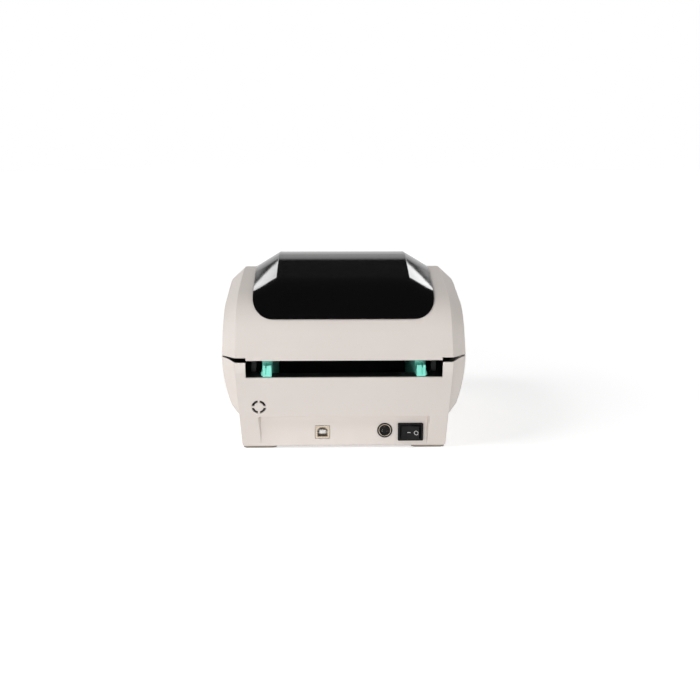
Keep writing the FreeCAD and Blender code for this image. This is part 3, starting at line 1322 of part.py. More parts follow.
def side_plate():
    """The +X plate of the mechanism frame, standing on the bottom plate."""
    outline = [
        (PLATE_FRONT_Y, FLOOR_Z, 0), (PLATE_REAR_Y, FLOOR_Z, 0), (PLATE_REAR_Y, DECK_Z, PLATEN_RADIUS),
        (SHEET_FRONT_Y, PLATE_TOP_Z, PLATEN_RADIUS), (PLATE_FRONT_Y, PLATE_TOP_Z, PLATEN_RADIUS / 2),
    ]
    plate = prism("YZ", PLATE_X, PLATE_OUT_X, outline)
    return cut(
        plate, across(PLATEN_Y, PLATEN_Z, BUSH_RADIUS, FAR),
        across(LATCH_Y, LATCH_Z, LATCH_SHAFT_RADIUS + RUN_GAP, FAR),
    )


def drive_plate():
    """The -X plate, which also lets the motor shaft through."""
    return mirrored(side_plate()).cut(across(MOTOR_Y, MOTOR_Z, MOTOR_SHAFT_RADIUS + FIT_GAP, FAR))


def platen_bushes():
    start = PLATE_OUT_X - BUSH_LENGTH
    bore = PLATEN_SHAFT_RADIUS + RUN_GAP
    bush = ring((1, 0, 0), (start, PLATEN_Y, PLATEN_Z), BUSH_LENGTH, BUSH_RADIUS, bore)
    return both_sides(bush)


def paper_guide():
    """The sloping sheet that leads the labels from the deck up to the platen."""
    outline = [
        (DECK_FRONT_Y, DECK_Z - SHEET_THICK, 0), (DECK_FRONT_Y, DECK_Z, 0),
        (SHEET_FRONT_Y, SHEET_TOP_Z, 0), (SHEET_FRONT_Y, SHEET_TOP_Z - SHEET_THICK, 0),
    ]
    return prism("YZ", -SHEET_HALF, SHEET_HALF, outline)


def media_sensor():
    slope = (SHEET_TOP_Z - DECK_Z) / (SHEET_FRONT_Y - DECK_FRONT_Y)
    rear_y_here = DECK_FRONT_Y - SENSOR_DEPTH
    front_y_here = rear_y_here - SENSOR_DEPTH

    def under(y):
        return DECK_Z - SHEET_THICK + slope * (y - DECK_FRONT_Y)

    outline = [
        (rear_y_here, under(rear_y_here), 0), (front_y_here, under(front_y_here), 0),
        (front_y_here, under(rear_y_here) - SENSOR_HEIGHT, 0),
        (rear_y_here, under(rear_y_here) - SENSOR_HEIGHT, 0),
    ]
    return prism("YZ", -SENSOR_WIDTH / 2, SENSOR_WIDTH / 2, outline)


# Front and latch

def exit_bezel():
    half = EXIT_HALF - FIT_GAP
    rib_y = TEAR_Y + TEAR_THICK
    top = EXIT_Z + BEZEL_THICK
    outline = [
        (FRONT_Y, EXIT_Z, 0), (BEAM_FRONT_Y, EXIT_Z, 0),
        (BEAM_FRONT_Y, top, 0), (rib_y + BEZEL_THICK, top, 0),
        (rib_y + BEZEL_THICK, top + BEZEL_RIB, 0), (rib_y, top + BEZEL_RIB, 0), (rib_y, top, 0),
        (FRONT_Y, top, BEZEL_ROUND),
    ]
    return prism("YZ", -half, half, outline)


def tear_bar():
    low = EXIT_Z + BEZEL_THICK
    high = low + TEAR_HEIGHT
    teeth = int(2 * TEAR_HALF / TEAR_PITCH)
    points = [(-TEAR_HALF, low, 0), (TEAR_HALF, low, 0)]
    for i in range(teeth):
        x = TEAR_HALF - TEAR_PITCH * i
        points += [(x, high, 0), (x - TEAR_PITCH / 2, high + TEAR_TOOTH, 0)]
    points.append((-TEAR_HALF, high, 0))
    return prism("XZ", TEAR_Y, TEAR_Y + TEAR_THICK, points)


def lid_latch():
    """Cross shaft with a hook and a thumb tab at each side; the hooks stand in front of the lid's studs."""
    shaft = across(LATCH_Y, LATCH_Z, LATCH_SHAFT_RADIUS, LATCH_X + LATCH_THICK)
    nose_y = LATCH_STUD_Y - LATCH_STUD_RADIUS - LATCH_NOSE_GAP
    front, rear = LATCH_Y - LATCH_ARM_HALF, LATCH_Y + LATCH_ARM_HALF
    over_z = LATCH_STUD_Z + LATCH_STUD_RADIUS + LATCH_NOSE_GAP
    outline = [
        (front, LATCH_Z - LATCH_LOW, LATCH_ROUND), (rear, LATCH_Z - LATCH_LOW, LATCH_ROUND),
        (rear, over_z, 0), (nose_y, over_z + LATCH_ROUND, 0),
        (nose_y, LATCH_TOP_Z, LATCH_ROUND), (front, LATCH_TOP_Z, 2 * LATCH_ROUND),
    ]
    hook = prism("YZ", LATCH_X, LATCH_X + LATCH_THICK, outline)
    tab = box(
        (LATCH_X, LATCH_Y - LATCH_TAB_LENGTH / 2, LATCH_TAB_Z - LATCH_TAB_HEIGHT / 2),
        (WIDTH, LATCH_Y + LATCH_TAB_LENGTH / 2, LATCH_TAB_Z + LATCH_TAB_HEIGHT / 2),
    ).common(cheek(FIT_GAP))
    side = fuse(hook, tab)
    return fuse(shaft, side, mirrored(side))


NODES = {
    "lower_housing": lower_housing,
    "bottom_plate": bottom_plate,
    "bottom_screws": bottom_screws,
    "rubber_feet": rubber_feet,
    "media_bay": media_bay,
    "hinge_brackets": lambda: both_sides(hinge_bracket()),
    "hinge_pins": hinge_pins,
    "main_board": main_board,
    "usb_socket_shell": usb_socket_shell,
    "usb_socket_tongue": usb_socket_tongue,
    "power_socket_body": power_socket_body,
    "power_socket_ring": power_socket_ring,
    "power_socket_insert": power_socket_insert,
    "switch_frame": switch_frame,
    "switch_rocker": switch_rocker,
    "buzzer": buzzer,
    "side_plate": side_plate,
    "drive_plate": drive_plate,
    "platen_bushes": platen_bushes,
    "motor_body": motor_body,
    "motor_rotor": motor_rotor,
    "idler_pin": idler_pin,
    "idler_gear": idler_gear,
    "platen_shaft": platen_shaft,
    "platen_roller": platen_roller,
    "platen_gear": platen_gear,
    "paper_guide": paper_guide,
    "media_sensor": media_sensor,
    "exit_bezel": exit_bezel,
    "tear_bar": tear_bar,
    "key_board": key_board,
    "feed_button": feed_button,
    "status_light": status_light,
    "lid_latch": lid_latch,
    "lid_shell": lid_shell,
    "window": window,
    "lid_frame": lid_frame,
    "latch_studs": latch_studs,
    "head_pivot_pins": head_pivot_pins,
    "head_springs": head_springs,
    "print_head": print_head,
    "heat_sink": heat_sink,
    "head_bracket": head_bracket,
    "roll_guide_left": roll_guide_left,
    "roll_guide_right": roll_guide_right,
    "roll_hub_left": roll_hub,
    "roll_hub_right": lambda: turned(roll_hub()),
    "guide_pinion": guide_pinion,
}

os.makedirs("parts", exist_ok=True)
for name, make in NODES.items():
    make().exportStep("parts/" + name + ".step")
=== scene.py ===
# %% [markdown]
# # A desktop label printer, seen from behind
#
# The solids of this printer are already made and packed. Here they get their finishes, a few small
# fittings that are too fine for the solids, a studio and a camera.
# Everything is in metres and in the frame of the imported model: +Z is up and +Y points to the sockets.

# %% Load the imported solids
import json
import math

import bmesh
import bpy
from mathutils import Matrix, Quaternion, Vector

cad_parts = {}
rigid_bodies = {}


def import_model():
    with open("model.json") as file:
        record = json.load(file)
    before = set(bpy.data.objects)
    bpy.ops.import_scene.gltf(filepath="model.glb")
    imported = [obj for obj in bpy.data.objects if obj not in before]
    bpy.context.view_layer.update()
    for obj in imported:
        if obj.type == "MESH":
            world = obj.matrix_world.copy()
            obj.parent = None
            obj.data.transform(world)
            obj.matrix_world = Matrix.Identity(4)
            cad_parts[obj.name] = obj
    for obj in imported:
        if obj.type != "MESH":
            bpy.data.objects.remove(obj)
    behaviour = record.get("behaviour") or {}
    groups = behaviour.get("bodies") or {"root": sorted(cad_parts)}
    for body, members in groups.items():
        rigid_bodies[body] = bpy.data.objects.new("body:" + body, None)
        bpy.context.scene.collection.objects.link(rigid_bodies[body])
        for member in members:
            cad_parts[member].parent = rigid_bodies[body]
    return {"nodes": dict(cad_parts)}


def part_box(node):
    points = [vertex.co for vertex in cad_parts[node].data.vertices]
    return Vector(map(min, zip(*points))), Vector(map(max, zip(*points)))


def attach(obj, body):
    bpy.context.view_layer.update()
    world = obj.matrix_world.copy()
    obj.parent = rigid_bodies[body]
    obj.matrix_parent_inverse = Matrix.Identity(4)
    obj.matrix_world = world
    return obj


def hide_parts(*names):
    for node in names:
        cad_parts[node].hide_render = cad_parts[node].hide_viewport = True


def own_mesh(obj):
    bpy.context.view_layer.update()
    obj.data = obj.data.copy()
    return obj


for leftover in list(bpy.data.objects):
    bpy.data.objects.remove(leftover)
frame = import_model()
nodes = frame["nodes"]
scene = bpy.context.scene
MM = 0.001
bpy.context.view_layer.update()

# %% [markdown]
# ## The camera
#
# The photograph looks at the printer's back from 12 degrees above it and from a touch to its left.
# The distance came from how much the lid narrows towards its far side: a longer lens would flatten
# it, a shorter one would show less of the crown. The camera is swung round a point on the back panel.

# %% Camera
VIEW_DOWN, VIEW_ASIDE, VIEW_FAR = math.radians(12.0), math.radians(1.2), 850 * MM
VIEW_CENTRE = Vector((-4.9, 97.0, 83.8)) * MM
camera_data = bpy.data.cameras.new("photo_camera")
camera_data.sensor_width, camera_data.lens = 36.0, 53.33
camera = bpy.data.objects.new("photo_camera", camera_data)
level = Vector((math.sin(VIEW_ASIDE), math.cos(VIEW_ASIDE), 0.0))
away = level * math.cos(VIEW_DOWN) + Vector((0.0, 0.0, math.sin(VIEW_DOWN)))
camera.location = VIEW_CENTRE + VIEW_FAR * away
camera.rotation_euler = (math.pi / 2 - VIEW_DOWN, 0, math.pi - VIEW_ASIDE)
scene.collection.objects.link(camera)
scene.camera = camera
print("camera at", tuple(camera.location))

# %% [markdown]
# ## Helpers for the finishes
#
# Colours are written as the sRGB hex values that a colour picker shows, while the shader wants linear
# light, so one function turns one into the other. Nodes could be added and linked by hand, but one
# small function that takes a node's kind, its inputs and its settings keeps each finish short.
# A Mix node has its inputs once for numbers and once for colours, under the same names, so they go by
# number: 0 is the share, 2 and 3 are two numbers, 6 and 7 two colours, and the mixed colour is output 2.
# Every finish starts and ends alike: a new material that reads Object coordinates, and at the end its
# tone, its gloss and sometimes its relief linked to the shader.

# %% Colour and node helpers
def linear(code):
    steps = [int(code[i:i + 2], 16) / 255 for i in (0, 2, 4)]
    return tuple(s / 12.92 if s <= 0.04045 else ((s + 0.055) / 1.055) ** 2.4 for s in steps) + (1.0,)


def add(tree, kind, inputs=None, **settings):
    node = tree.nodes.new("ShaderNode" + kind)
    for name, value in settings.items():
        setattr(node, name, value)
    for name, value in (inputs or {}).items():
        if isinstance(value, bpy.types.NodeSocket):
            tree.links.new(value, node.inputs[name])
        else:
            node.inputs[name].default_value = value
    return node


def start_finish(name, **values):
    finish = bpy.data.materials.new(name)
    finish.use_nodes = True
    tree = finish.node_tree
    shader = tree.nodes["Principled BSDF"]
    for socket, value in values.items():
        shader.inputs[socket.replace("_", " ")].default_value = value
    place = add(tree, "TexCoord").outputs["Object"]
    return finish, tree, shader, place


def close_finish(shader, tone, gloss, relief=None):
    links = shader.id_data.links
    links.new(tone.outputs[2], shader.inputs["Base Color"])
    links.new(gloss.outputs["Result"], shader.inputs["Roughness"])
    if relief:
        links.new(relief.outputs["Normal"], shader.inputs["Normal"])


def dress(finish, *names):
    for name in names:
        nodes[name].data.materials.clear()
        nodes[name].data.materials.append(finish)
    print(finish.name, "on", ", ".join(names))


print("helpers ready, #808080 is", round(linear("808080")[0], 4), "in linear light")

# %% [markdown]
# ## White ABS
#
# The housing and the lid are injection-moulded ABS. The mould is spark-eroded, which leaves a very fine
# even grain that breaks up the gloss. The real grain is about 0.1 mm, too fine to show here, so
# it is drawn at 0.5 mm. A second, slow noise shifts the white by a hair, as moulded parts do.
# Moulded edges are never sharp, so the shading rounds each edge by half a millimetre.

# %% White ABS, spark-eroded
white_abs, tree, shader, place = start_finish("ABS_white_spark_eroded", IOR=1.54)
grain = add(tree, "TexNoise", {"Vector": place, "Scale": 1 / (0.5 * MM), "Detail": 2.0})
flow = add(tree, "TexNoise", {"Vector": place, "Scale": 1 / (70 * MM), "Detail": 1.0})
tone = add(tree, "Mix", {
    0: flow.outputs["Fac"], 6: linear("e3dad3"), 7: linear("e8e0da")}, data_type="RGBA")
gloss = add(tree, "MapRange", {"Value": grain.outputs["Fac"], "To Min": 0.40, "To Max": 0.56})
edge = add(tree, "Bevel", {"Radius": 0.5 * MM}, samples=6)
bump = add(tree, "Bump", {
    "Height": grain.outputs["Fac"], "Normal": edge.outputs["Normal"],
    "Strength": 0.12, "Distance": 0.1 * MM})
close_finish(shader, tone, gloss, bump)
dress(white_abs, "lower_housing", "lid_shell", "bottom_plate")

# %% [markdown]
# ## The smoked window
#
# The lid's window is a thick cap of smoked acrylic, polished in the mould. It looks black because
# the smoke takes nearly all the light, so the eye sees only what it reflects. A long, very
# shallow wave in its surface makes the reflections wander a little, as on a real moulding.

# %% Smoked acrylic, polished
smoked_acrylic, tree, shader, place = start_finish("acrylic_smoked_polished", IOR=1.49)
smoke = add(tree, "TexNoise", {"Vector": place, "Scale": 1 / (45 * MM), "Detail": 1.0})
tone = add(tree, "Mix", {
    0: smoke.outputs["Fac"], 6: linear("08080a"), 7: linear("0d0c0d")}, data_type="RGBA")
haze = add(tree, "TexNoise", {"Vector": place, "Scale": 1 / (6 * MM), "Detail": 3.0})
gloss = add(tree, "MapRange", {"Value": haze.outputs["Fac"], "To Min": 0.08, "To Max": 0.13})
edge = add(tree, "Bevel", {"Radius": 0.7 * MM}, samples=6)
bump = add(tree, "Bump", {
    "Height": smoke.outputs["Fac"], "Normal": edge.outputs["Normal"],
    "Strength": 0.05, "Distance": 1 * MM})
close_finish(shader, tone, gloss, bump)
dress(smoked_acrylic, "window")

# %% [markdown]
# ## Black ABS inside
#
# The roll bay, the paper guide and the lid's frame are black ABS from an etched mould. Etching gives a
# pebbled grain of about 0.4 mm, coarser than the white housing's and drawn here at 0.6 mm so that it
# shows. It keeps the inside dull, so light from the slot does not bounce around in it.

# %% Black ABS, etched grain
black_abs, tree, shader, place = start_finish("ABS_black_etched", IOR=1.54)
pebble = add(tree, "TexVoronoi", {"Vector": place, "Scale": 1 / (0.6 * MM)}, feature="SMOOTH_F1")
dust = add(tree, "TexNoise", {"Vector": place, "Scale": 1 / (30 * MM), "Detail": 3.0})
tone = add(tree, "Mix", {
    0: dust.outputs["Fac"], 6: linear("111113"), 7: linear("19191b")}, data_type="RGBA")
gloss = add(tree, "MapRange", {"Value": pebble.outputs["Distance"], "To Min": 0.5, "To Max": 0.68})
edge = add(tree, "Bevel", {"Radius": 0.4 * MM}, samples=4)
bump = add(tree, "Bump", {
    "Height": pebble.outputs["Distance"], "Normal": edge.outputs["Normal"],
    "Strength": 0.25, "Distance": 0.1 * MM})
close_finish(shader, tone, gloss, bump)
dress(
    black_abs, "media_bay", "hinge_brackets", "paper_guide", "media_sensor", "exit_bezel", "lid_frame",
    "buzzer")

# %% [markdown]
# ## Mint ABS for what the hand moves
#
# The roll guides, the lid latch and the feed button share one mint green, so the user sees at once
# what may be touched. They are ABS from a finer, satin mould. The colour is in the plastic, so it
# is even, with only a slow drift where the melt cooled.

# %% Mint ABS, satin
mint_abs, tree, shader, place = start_finish("ABS_mint_satin", IOR=1.54)
flow = add(tree, "TexNoise", {"Vector": place, "Scale": 1 / (25 * MM), "Detail": 2.0})
tone = add(tree, "Mix", {
    0: flow.outputs["Fac"], 6: linear("83efd9"), 7: linear("90f6e2")}, data_type="RGBA")
grain = add(tree, "TexNoise", {"Vector": place, "Scale": 1 / (0.5 * MM), "Detail": 2.0})
gloss = add(tree, "MapRange", {"Value": grain.outputs["Fac"], "To Min": 0.34, "To Max": 0.46})
edge = add(tree, "Bevel", {"Radius": 0.4 * MM}, samples=4)
bump = add(tree, "Bump", {
    "Height": grain.outputs["Fac"], "Normal": edge.outputs["Normal"],
    "Strength": 0.08, "Distance": 0.1 * MM})
close_finish(shader, tone, gloss, bump)
dress(mint_abs, "roll_guide_left", "roll_guide_right", "lid_latch", "feed_button")

# %% [markdown]
# ## Grey ABS
#
# The hubs that hold the roll are plain grey ABS, from a smoother mould with fine turning marks left by
# the tool, which show as faint rings. A wave texture at scale 1 repeats every 0.31 units, so its scale
# is that number divided by the spacing of the marks.

# %% Grey ABS, smooth mould
WAVE = 0.31
grey_abs, tree, shader, place = start_finish("ABS_grey_smooth", IOR=1.54)
flow = add(tree, "TexNoise", {"Vector": place, "Scale": 1 / (18 * MM), "Detail": 2.0})
tone = add(tree, "Mix", {
    0: flow.outputs["Fac"], 6: linear("8a8c8e"), 7: linear("96989a")}, data_type="RGBA")
marks = add(tree, "TexWave", {
    "Vector": place, "Scale": WAVE / (0.7 * MM), "Distortion": 0.6},
    wave_type="RINGS", rings_direction="X")
gloss = add(tree, "MapRange", {"Value": marks.outputs["Fac"], "To Min": 0.36, "To Max": 0.44})
edge = add(tree, "Bevel", {"Radius": 0.4 * MM}, samples=4)
close_finish(shader, tone, gloss, edge)
dress(grey_abs, "roll_hub_left", "roll_hub_right")

# %% [markdown]
# ## Nylon gears and socket tongue
#
# The gears are natural nylon, which runs quietly without oil. It is a milky cream, and light
# enters it a little before it comes back out, so it gets a shallow subsurface glow. The tongue in
# the data socket is a whiter nylon, filled so that it survives soldering.

# %% Natural nylon, moulded
natural_nylon, tree, shader, place = start_finish(
    "nylon_natural_moulded", IOR=1.53, Subsurface_Weight=0.25, Subsurface_Scale=0.6 * MM,
    Subsurface_Radius=(1.0, 0.9, 0.7))
milk = add(tree, "TexNoise", {"Vector": place, "Scale": 1 / (5 * MM), "Detail": 2.0})
tone = add(tree, "Mix", {
    0: milk.outputs["Fac"], 6: linear("ddd8c4"), 7: linear("e8e3d1")}, data_type="RGBA")
gloss = add(tree, "MapRange", {"Value": milk.outputs["Fac"], "To Min": 0.36, "To Max": 0.48})
close_finish(shader, tone, gloss)
dress(natural_nylon, "idler_gear", "platen_gear", "guide_pinion")

# %% White nylon, glass-filled
white_nylon, tree, shader, place = start_finish("nylon_white_filled", IOR=1.53)
fibre = add(tree, "TexNoise", {"Vector": place, "Scale": 1 / (0.4 * MM), "Detail": 3.0})
tone = add(tree, "Mix", {
    0: fibre.outputs["Fac"], 6: linear("d9d7d2"), 7: linear("efeeea")}, data_type="RGBA")
gloss = add(tree, "MapRange", {"Value": fibre.outputs["Fac"], "To Min": 0.42, "To Max": 0.58})
edge = add(tree, "Bevel", {"Radius": 0.2 * MM}, samples=4)
close_finish(shader, tone, gloss, edge)
dress(white_nylon, "usb_socket_tongue")

# %% [markdown]
# ## Black polycarbonate of the switch and the power socket
#
# Switch and socket are bought-in parts in black polycarbonate with a fine moulded grain. The grain
# traps light, so the faces mirror less than bare plastic would, and the specular level comes down for
# that. Their small edges still catch a thin line of light, so the rounding is tight.

# %% Black polycarbonate, moulded
black_polycarbonate, tree, shader, place = start_finish(
    "polycarbonate_black_moulded", IOR=1.58, Specular_IOR_Level=0.12)
grain = add(tree, "TexNoise", {"Vector": place, "Scale": 1 / (0.3 * MM), "Detail": 2.0})
tone = add(tree, "Mix", {
    0: grain.outputs["Fac"], 6: linear("101011"), 7: linear("171718")}, data_type="RGBA")
gloss = add(tree, "MapRange", {"Value": grain.outputs["Fac"], "To Min": 0.46, "To Max": 0.6})
edge = add(tree, "Bevel", {"Radius": 0.3 * MM}, samples=6)
bump = add(tree, "Bump", {
    "Height": grain.outputs["Fac"], "Normal": edge.outputs["Normal"],
    "Strength": 0.1, "Distance": 0.05 * MM})
close_finish(shader, tone, gloss, bump)
dress(black_polycarbonate, "switch_frame", "switch_rocker", "power_socket_body", "power_socket_insert")

# %% [markdown]
# ## Rubber
#
# The feet are moulded elastomer, warm grey and dull. The platen is a black rubber tube ground true on
# a lathe: grinding leaves fine rings round it, 0.3 mm apart, drawn here at 0.8 mm so that they show.

# %% Moulded foot rubber
foot_rubber, tree, shader, place = start_finish("rubber_grey_moulded", IOR=1.52)
bloom = add(tree, "TexNoise", {"Vector": place, "Scale": 1 / (4 * MM), "Detail": 4.0})
tone = add(tree, "Mix", {
    0: bloom.outputs["Fac"], 6: linear("8d8379"), 7: linear("a0968b")}, data_type="RGBA")
gloss = add(tree, "MapRange", {"Value": bloom.outputs["Fac"], "To Min": 0.7, "To Max": 0.88})
edge = add(tree, "Bevel", {"Radius": 0.5 * MM}, samples=4)
bump = add(tree, "Bump", {
    "Height": bloom.outputs["Fac"], "Normal": edge.outputs["Normal"],
    "Strength": 0.2, "Distance": 0.1 * MM})
close_finish(shader, tone, gloss, bump)
dress(foot_rubber, "rubber_feet")

# %% Ground platen rubber
platen_rubber, tree, shader, place = start_finish("rubber_black_ground", IOR=1.52)
rings = add(tree, "TexWave", {
    "Vector": place, "Scale": WAVE / (0.8 * MM), "Distortion": 0.8, "Detail": 1.0}, bands_direction="X")
tone = add(tree, "Mix", {
    0: rings.outputs["Fac"], 6: linear("1b1b1c"), 7: linear("242425")}, data_type="RGBA")
gloss = add(tree, "MapRange", {"Value": rings.outputs["Fac"], "To Min": 0.6, "To Max": 0.75})
bump = add(tree, "Bump", {"Height": rings.outputs["Fac"], "Strength": 0.2, "Distance": 0.05 * MM})
close_finish(shader, tone, gloss, bump)
dress(platen_rubber, "platen_roller")

# %% [markdown]
# ## Metals
#
# Plates, pins and springs are zinc-plated steel: a cool grey with a cloudy bloom from the plating bath.
# The tear bar is stainless steel, brushed along its length. The motor can is painted, the socket shells
# are bright nickel, the platen runs in sintered bronze full of oil, and the head sits on extruded
# aluminium with die lines along it. Each metal keeps the default IOR, so only its colour and its
# roughness tell them apart.

# %% Zinc-plated steel
zinc_steel, tree, shader, place = start_finish("steel_zinc_plated", Metallic=1.0)
bloom = add(tree, "TexNoise", {"Vector": place, "Scale": 1 / (7 * MM), "Detail": 5.0, "Roughness": 0.6})
tone = add(tree, "Mix", {
    0: bloom.outputs["Fac"], 6: linear("b4b7ba"), 7: linear("cfd1d2")}, data_type="RGBA")
gloss = add(tree, "MapRange", {"Value": bloom.outputs["Fac"], "To Min": 0.28, "To Max": 0.46})
close_finish(shader, tone, gloss)
dress(
    zinc_steel, "bottom_screws", "hinge_pins", "side_plate", "drive_plate", "motor_rotor", "idler_pin",
    "platen_shaft", "latch_studs", "head_pivot_pins", "head_springs", "head_bracket")

# %% Stainless tear bar, blanked and brushed
brushed_stainless, tree, shader, place = start_finish("stainless_brushed", Metallic=1.0)
along = add(tree, "Mapping", {
    "Vector": place, "Scale": (1 / (12 * MM), 1 / (0.3 * MM), 1 / (0.3 * MM))})
brush = add(tree, "TexNoise", {"Vector": along.outputs["Vector"], "Scale": 1.0, "Detail": 3.0})
tone = add(tree, "Mix", {
    0: brush.outputs["Fac"], 6: linear("b9babb"), 7: linear("d6d6d5")}, data_type="RGBA")
gloss = add(tree, "MapRange", {"Value": brush.outputs["Fac"], "To Min": 0.2, "To Max": 0.4})
close_finish(shader, tone, gloss)
dress(brushed_stainless, "tear_bar")

# %% Black paint on the motor can
motor_paint, tree, shader, place = start_finish("steel_black_painted", IOR=1.5)
orange_peel = add(tree, "TexNoise", {"Vector": place, "Scale": 1 / (1.2 * MM), "Detail": 2.0})
tone = add(tree, "Mix", {
    0: orange_peel.outputs["Fac"], 6: linear("18191a"), 7: linear("232425")}, data_type="RGBA")
gloss = add(tree, "MapRange", {"Value": orange_peel.outputs["Fac"], "To Min": 0.3, "To Max": 0.42})
bump = add(tree, "Bump", {"Height": orange_peel.outputs["Fac"], "Strength": 0.15, "Distance": 0.1 * MM})
close_finish(shader, tone, gloss, bump)
dress(motor_paint, "motor_body")

# %% Nickel, bright-plated
bright_nickel, tree, shader, place = start_finish("nickel_bright_plated", Metallic=1.0)
stain = add(tree, "TexNoise", {"Vector": place, "Scale": 1 / (3 * MM), "Detail": 3.0})
tone = add(tree, "Mix", {
    0: stain.outputs["Fac"], 6: linear("b5a694"), 7: linear("cfc4b5")}, data_type="RGBA")
gloss = add(tree, "MapRange", {"Value": stain.outputs["Fac"], "To Min": 0.2, "To Max": 0.34})
edge = add(tree, "Bevel", {"Radius": 0.2 * MM}, samples=6)
close_finish(shader, tone, gloss, edge)
dress(bright_nickel, "usb_socket_shell", "power_socket_ring")

# %% Bronze, sintered
sintered_bronze, tree, shader, place = start_finish("bronze_sintered", Metallic=1.0)
pores = add(tree, "TexVoronoi", {"Vector": place, "Scale": 1 / (0.5 * MM)})
tone = add(tree, "Mix", {
    0: pores.outputs["Distance"], 6: linear("7c5b34"), 7: linear("b58a52")}, data_type="RGBA")
gloss = add(tree, "MapRange", {"Value": pores.outputs["Distance"], "To Min": 0.35, "To Max": 0.6})
bump = add(tree, "Bump", {"Height": pores.outputs["Distance"], "Strength": 0.3, "Distance": 0.05 * MM})
close_finish(shader, tone, gloss, bump)
dress(sintered_bronze, "platen_bushes")

# %% Aluminium, extruded
extruded_aluminium, tree, shader, place = start_finish("aluminium_extruded", Metallic=1.0)
along = add(tree, "Mapping", {
    "Vector": place, "Scale": (1 / (0.4 * MM), 1 / (40 * MM), 1 / (0.4 * MM))})
die_lines = add(tree, "TexNoise", {"Vector": along.outputs["Vector"], "Scale": 1.0, "Detail": 2.0})
tone = add(tree, "Mix", {
    0: die_lines.outputs["Fac"], 6: linear("c3c4c6"), 7: linear("dcdddf")}, data_type="RGBA")
gloss = add(tree, "MapRange", {"Value": die_lines.outputs["Fac"], "To Min": 0.3, "To Max": 0.5})
close_finish(shader, tone, gloss)
dress(extruded_aluminium, "heat_sink")

# %% [markdown]
# ## Ceramic, boards and the light guide
#
# The print head is a plate of alumina ceramic, warm white, with a glazed underside. The boards are
# glass-epoxy under green solder mask: the woven glass shows faintly, at about half a millimetre.
# The status light is a clear acrylic rod with a green tint.

# %% Alumina ceramic, glazed
alumina, tree, shader, place = start_finish("alumina_glazed", IOR=1.6)
fired = add(tree, "TexNoise", {"Vector": place, "Scale": 1 / (3 * MM), "Detail": 3.0})
tone = add(tree, "Mix", {
    0: fired.outputs["Fac"], 6: linear("d9d0c2"), 7: linear("e6dfd3")}, data_type="RGBA")
gloss = add(tree, "MapRange", {"Value": fired.outputs["Fac"], "To Min": 0.14, "To Max": 0.26})
close_finish(shader, tone, gloss)
dress(alumina, "print_head")

# %% Board laminate under solder mask
board_laminate, tree, shader, place = start_finish("glass_epoxy_green_mask", IOR=1.5)
weave = add(tree, "TexChecker", {"Vector": place, "Scale": 1 / (0.6 * MM)})
mottle = add(tree, "TexNoise", {"Vector": place, "Scale": 1 / (6 * MM), "Detail": 2.0})
tone = add(tree, "Mix", {
    0: mottle.outputs["Fac"], 6: linear("0d4a2b"), 7: linear("146038")}, data_type="RGBA")
gloss = add(tree, "MapRange", {"Value": weave.outputs["Fac"], "To Min": 0.28, "To Max": 0.36})
bump = add(tree, "Bump", {"Height": weave.outputs["Fac"], "Strength": 0.05, "Distance": 0.02 * MM})
close_finish(shader, tone, gloss, bump)
dress(board_laminate, "main_board", "key_board")

# %% Acrylic light guide, green
green_acrylic, tree, shader, place = start_finish(
    "acrylic_green_clear", IOR=1.49, Transmission_Weight=0.5)
haze = add(tree, "TexNoise", {"Vector": place, "Scale": 1 / (1 * MM), "Detail": 2.0})
tone = add(tree, "Mix", {
    0: haze.outputs["Fac"], 6: linear("7fd49a"), 7: linear("a2e6b7")}, data_type="RGBA")
gloss = add(tree, "MapRange", {"Value": haze.outputs["Fac"], "To Min": 0.08, "To Max": 0.16})
close_finish(shader, tone, gloss)
dress(green_acrylic, "status_light")

# %% [markdown]
# ## Small fittings
#
# Some things on the printer are too fine for its solids: ink marks, contacts, ridges for the thumb.
# Each of them is a small mesh of its own that rides on the body it belongs to, so it moves with it.
# One helper turns a mesh's faces outwards, gives it its finish and hangs it on that body. Another lays
# points on a solid by casting rays at it.

# %% Fitting helper
RUN_UP = 60 * MM


def fit(name, shape, finish, body):
    bmesh.ops.recalc_face_normals(shape, faces=shape.faces[:])
    data = bpy.data.meshes.new(name)
    shape.to_mesh(data)
    shape.free()
    data.materials.append(finish)
    piece = bpy.data.objects.new(name, data)
    scene.collection.objects.link(piece)
    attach(piece, body)
    print(name, len(data.polygons), "faces, rides on", body)
    return piece


def lay_on(node, points, towards, lift):
    """Moves points along a direction until they lie on a solid, then lifts them off it by a hair."""
    towards = Vector(towards)
    for point in points:
        hit, spot, normal = nodes[node].ray_cast(point.co - towards * RUN_UP, towards)[:3]
        if not hit:
            raise ValueError(f"{node} is not behind a point of the piece")
        point.co = spot + normal * lift


bpy.context.view_layer.update()
print("rays start", RUN_UP / MM, "mm off the solid")

# %% [markdown]
# ## Off and on marks of the rocker
#
# A bought-in switch carries a stroke for on and a ring for off, pad-printed in white. Pad printing
# presses ink from a soft pad onto the hollow face, so the marks follow it. They could be painted in
# the shader, but as a thin mesh they keep crisp edges: a ring bridged from two circles and a small
# grid, both laid on the rocker's face by casting rays at it.

# %% White pad-printing ink
white_ink, tree, shader, place = start_finish("ink_white_pad_printed", IOR=1.5)
thin = add(tree, "TexNoise", {"Vector": place, "Scale": 1 / (0.4 * MM), "Detail": 3.0})
tone = add(tree, "Mix", {
    0: thin.outputs["Fac"], 6: linear("c4c3c1"), 7: linear("e2e1df")}, data_type="RGBA")
gloss = add(tree, "MapRange", {"Value": thin.outputs["Fac"], "To Min": 0.45, "To Max": 0.6})
close_finish(shader, tone, gloss)
print(white_ink.name, "ready")

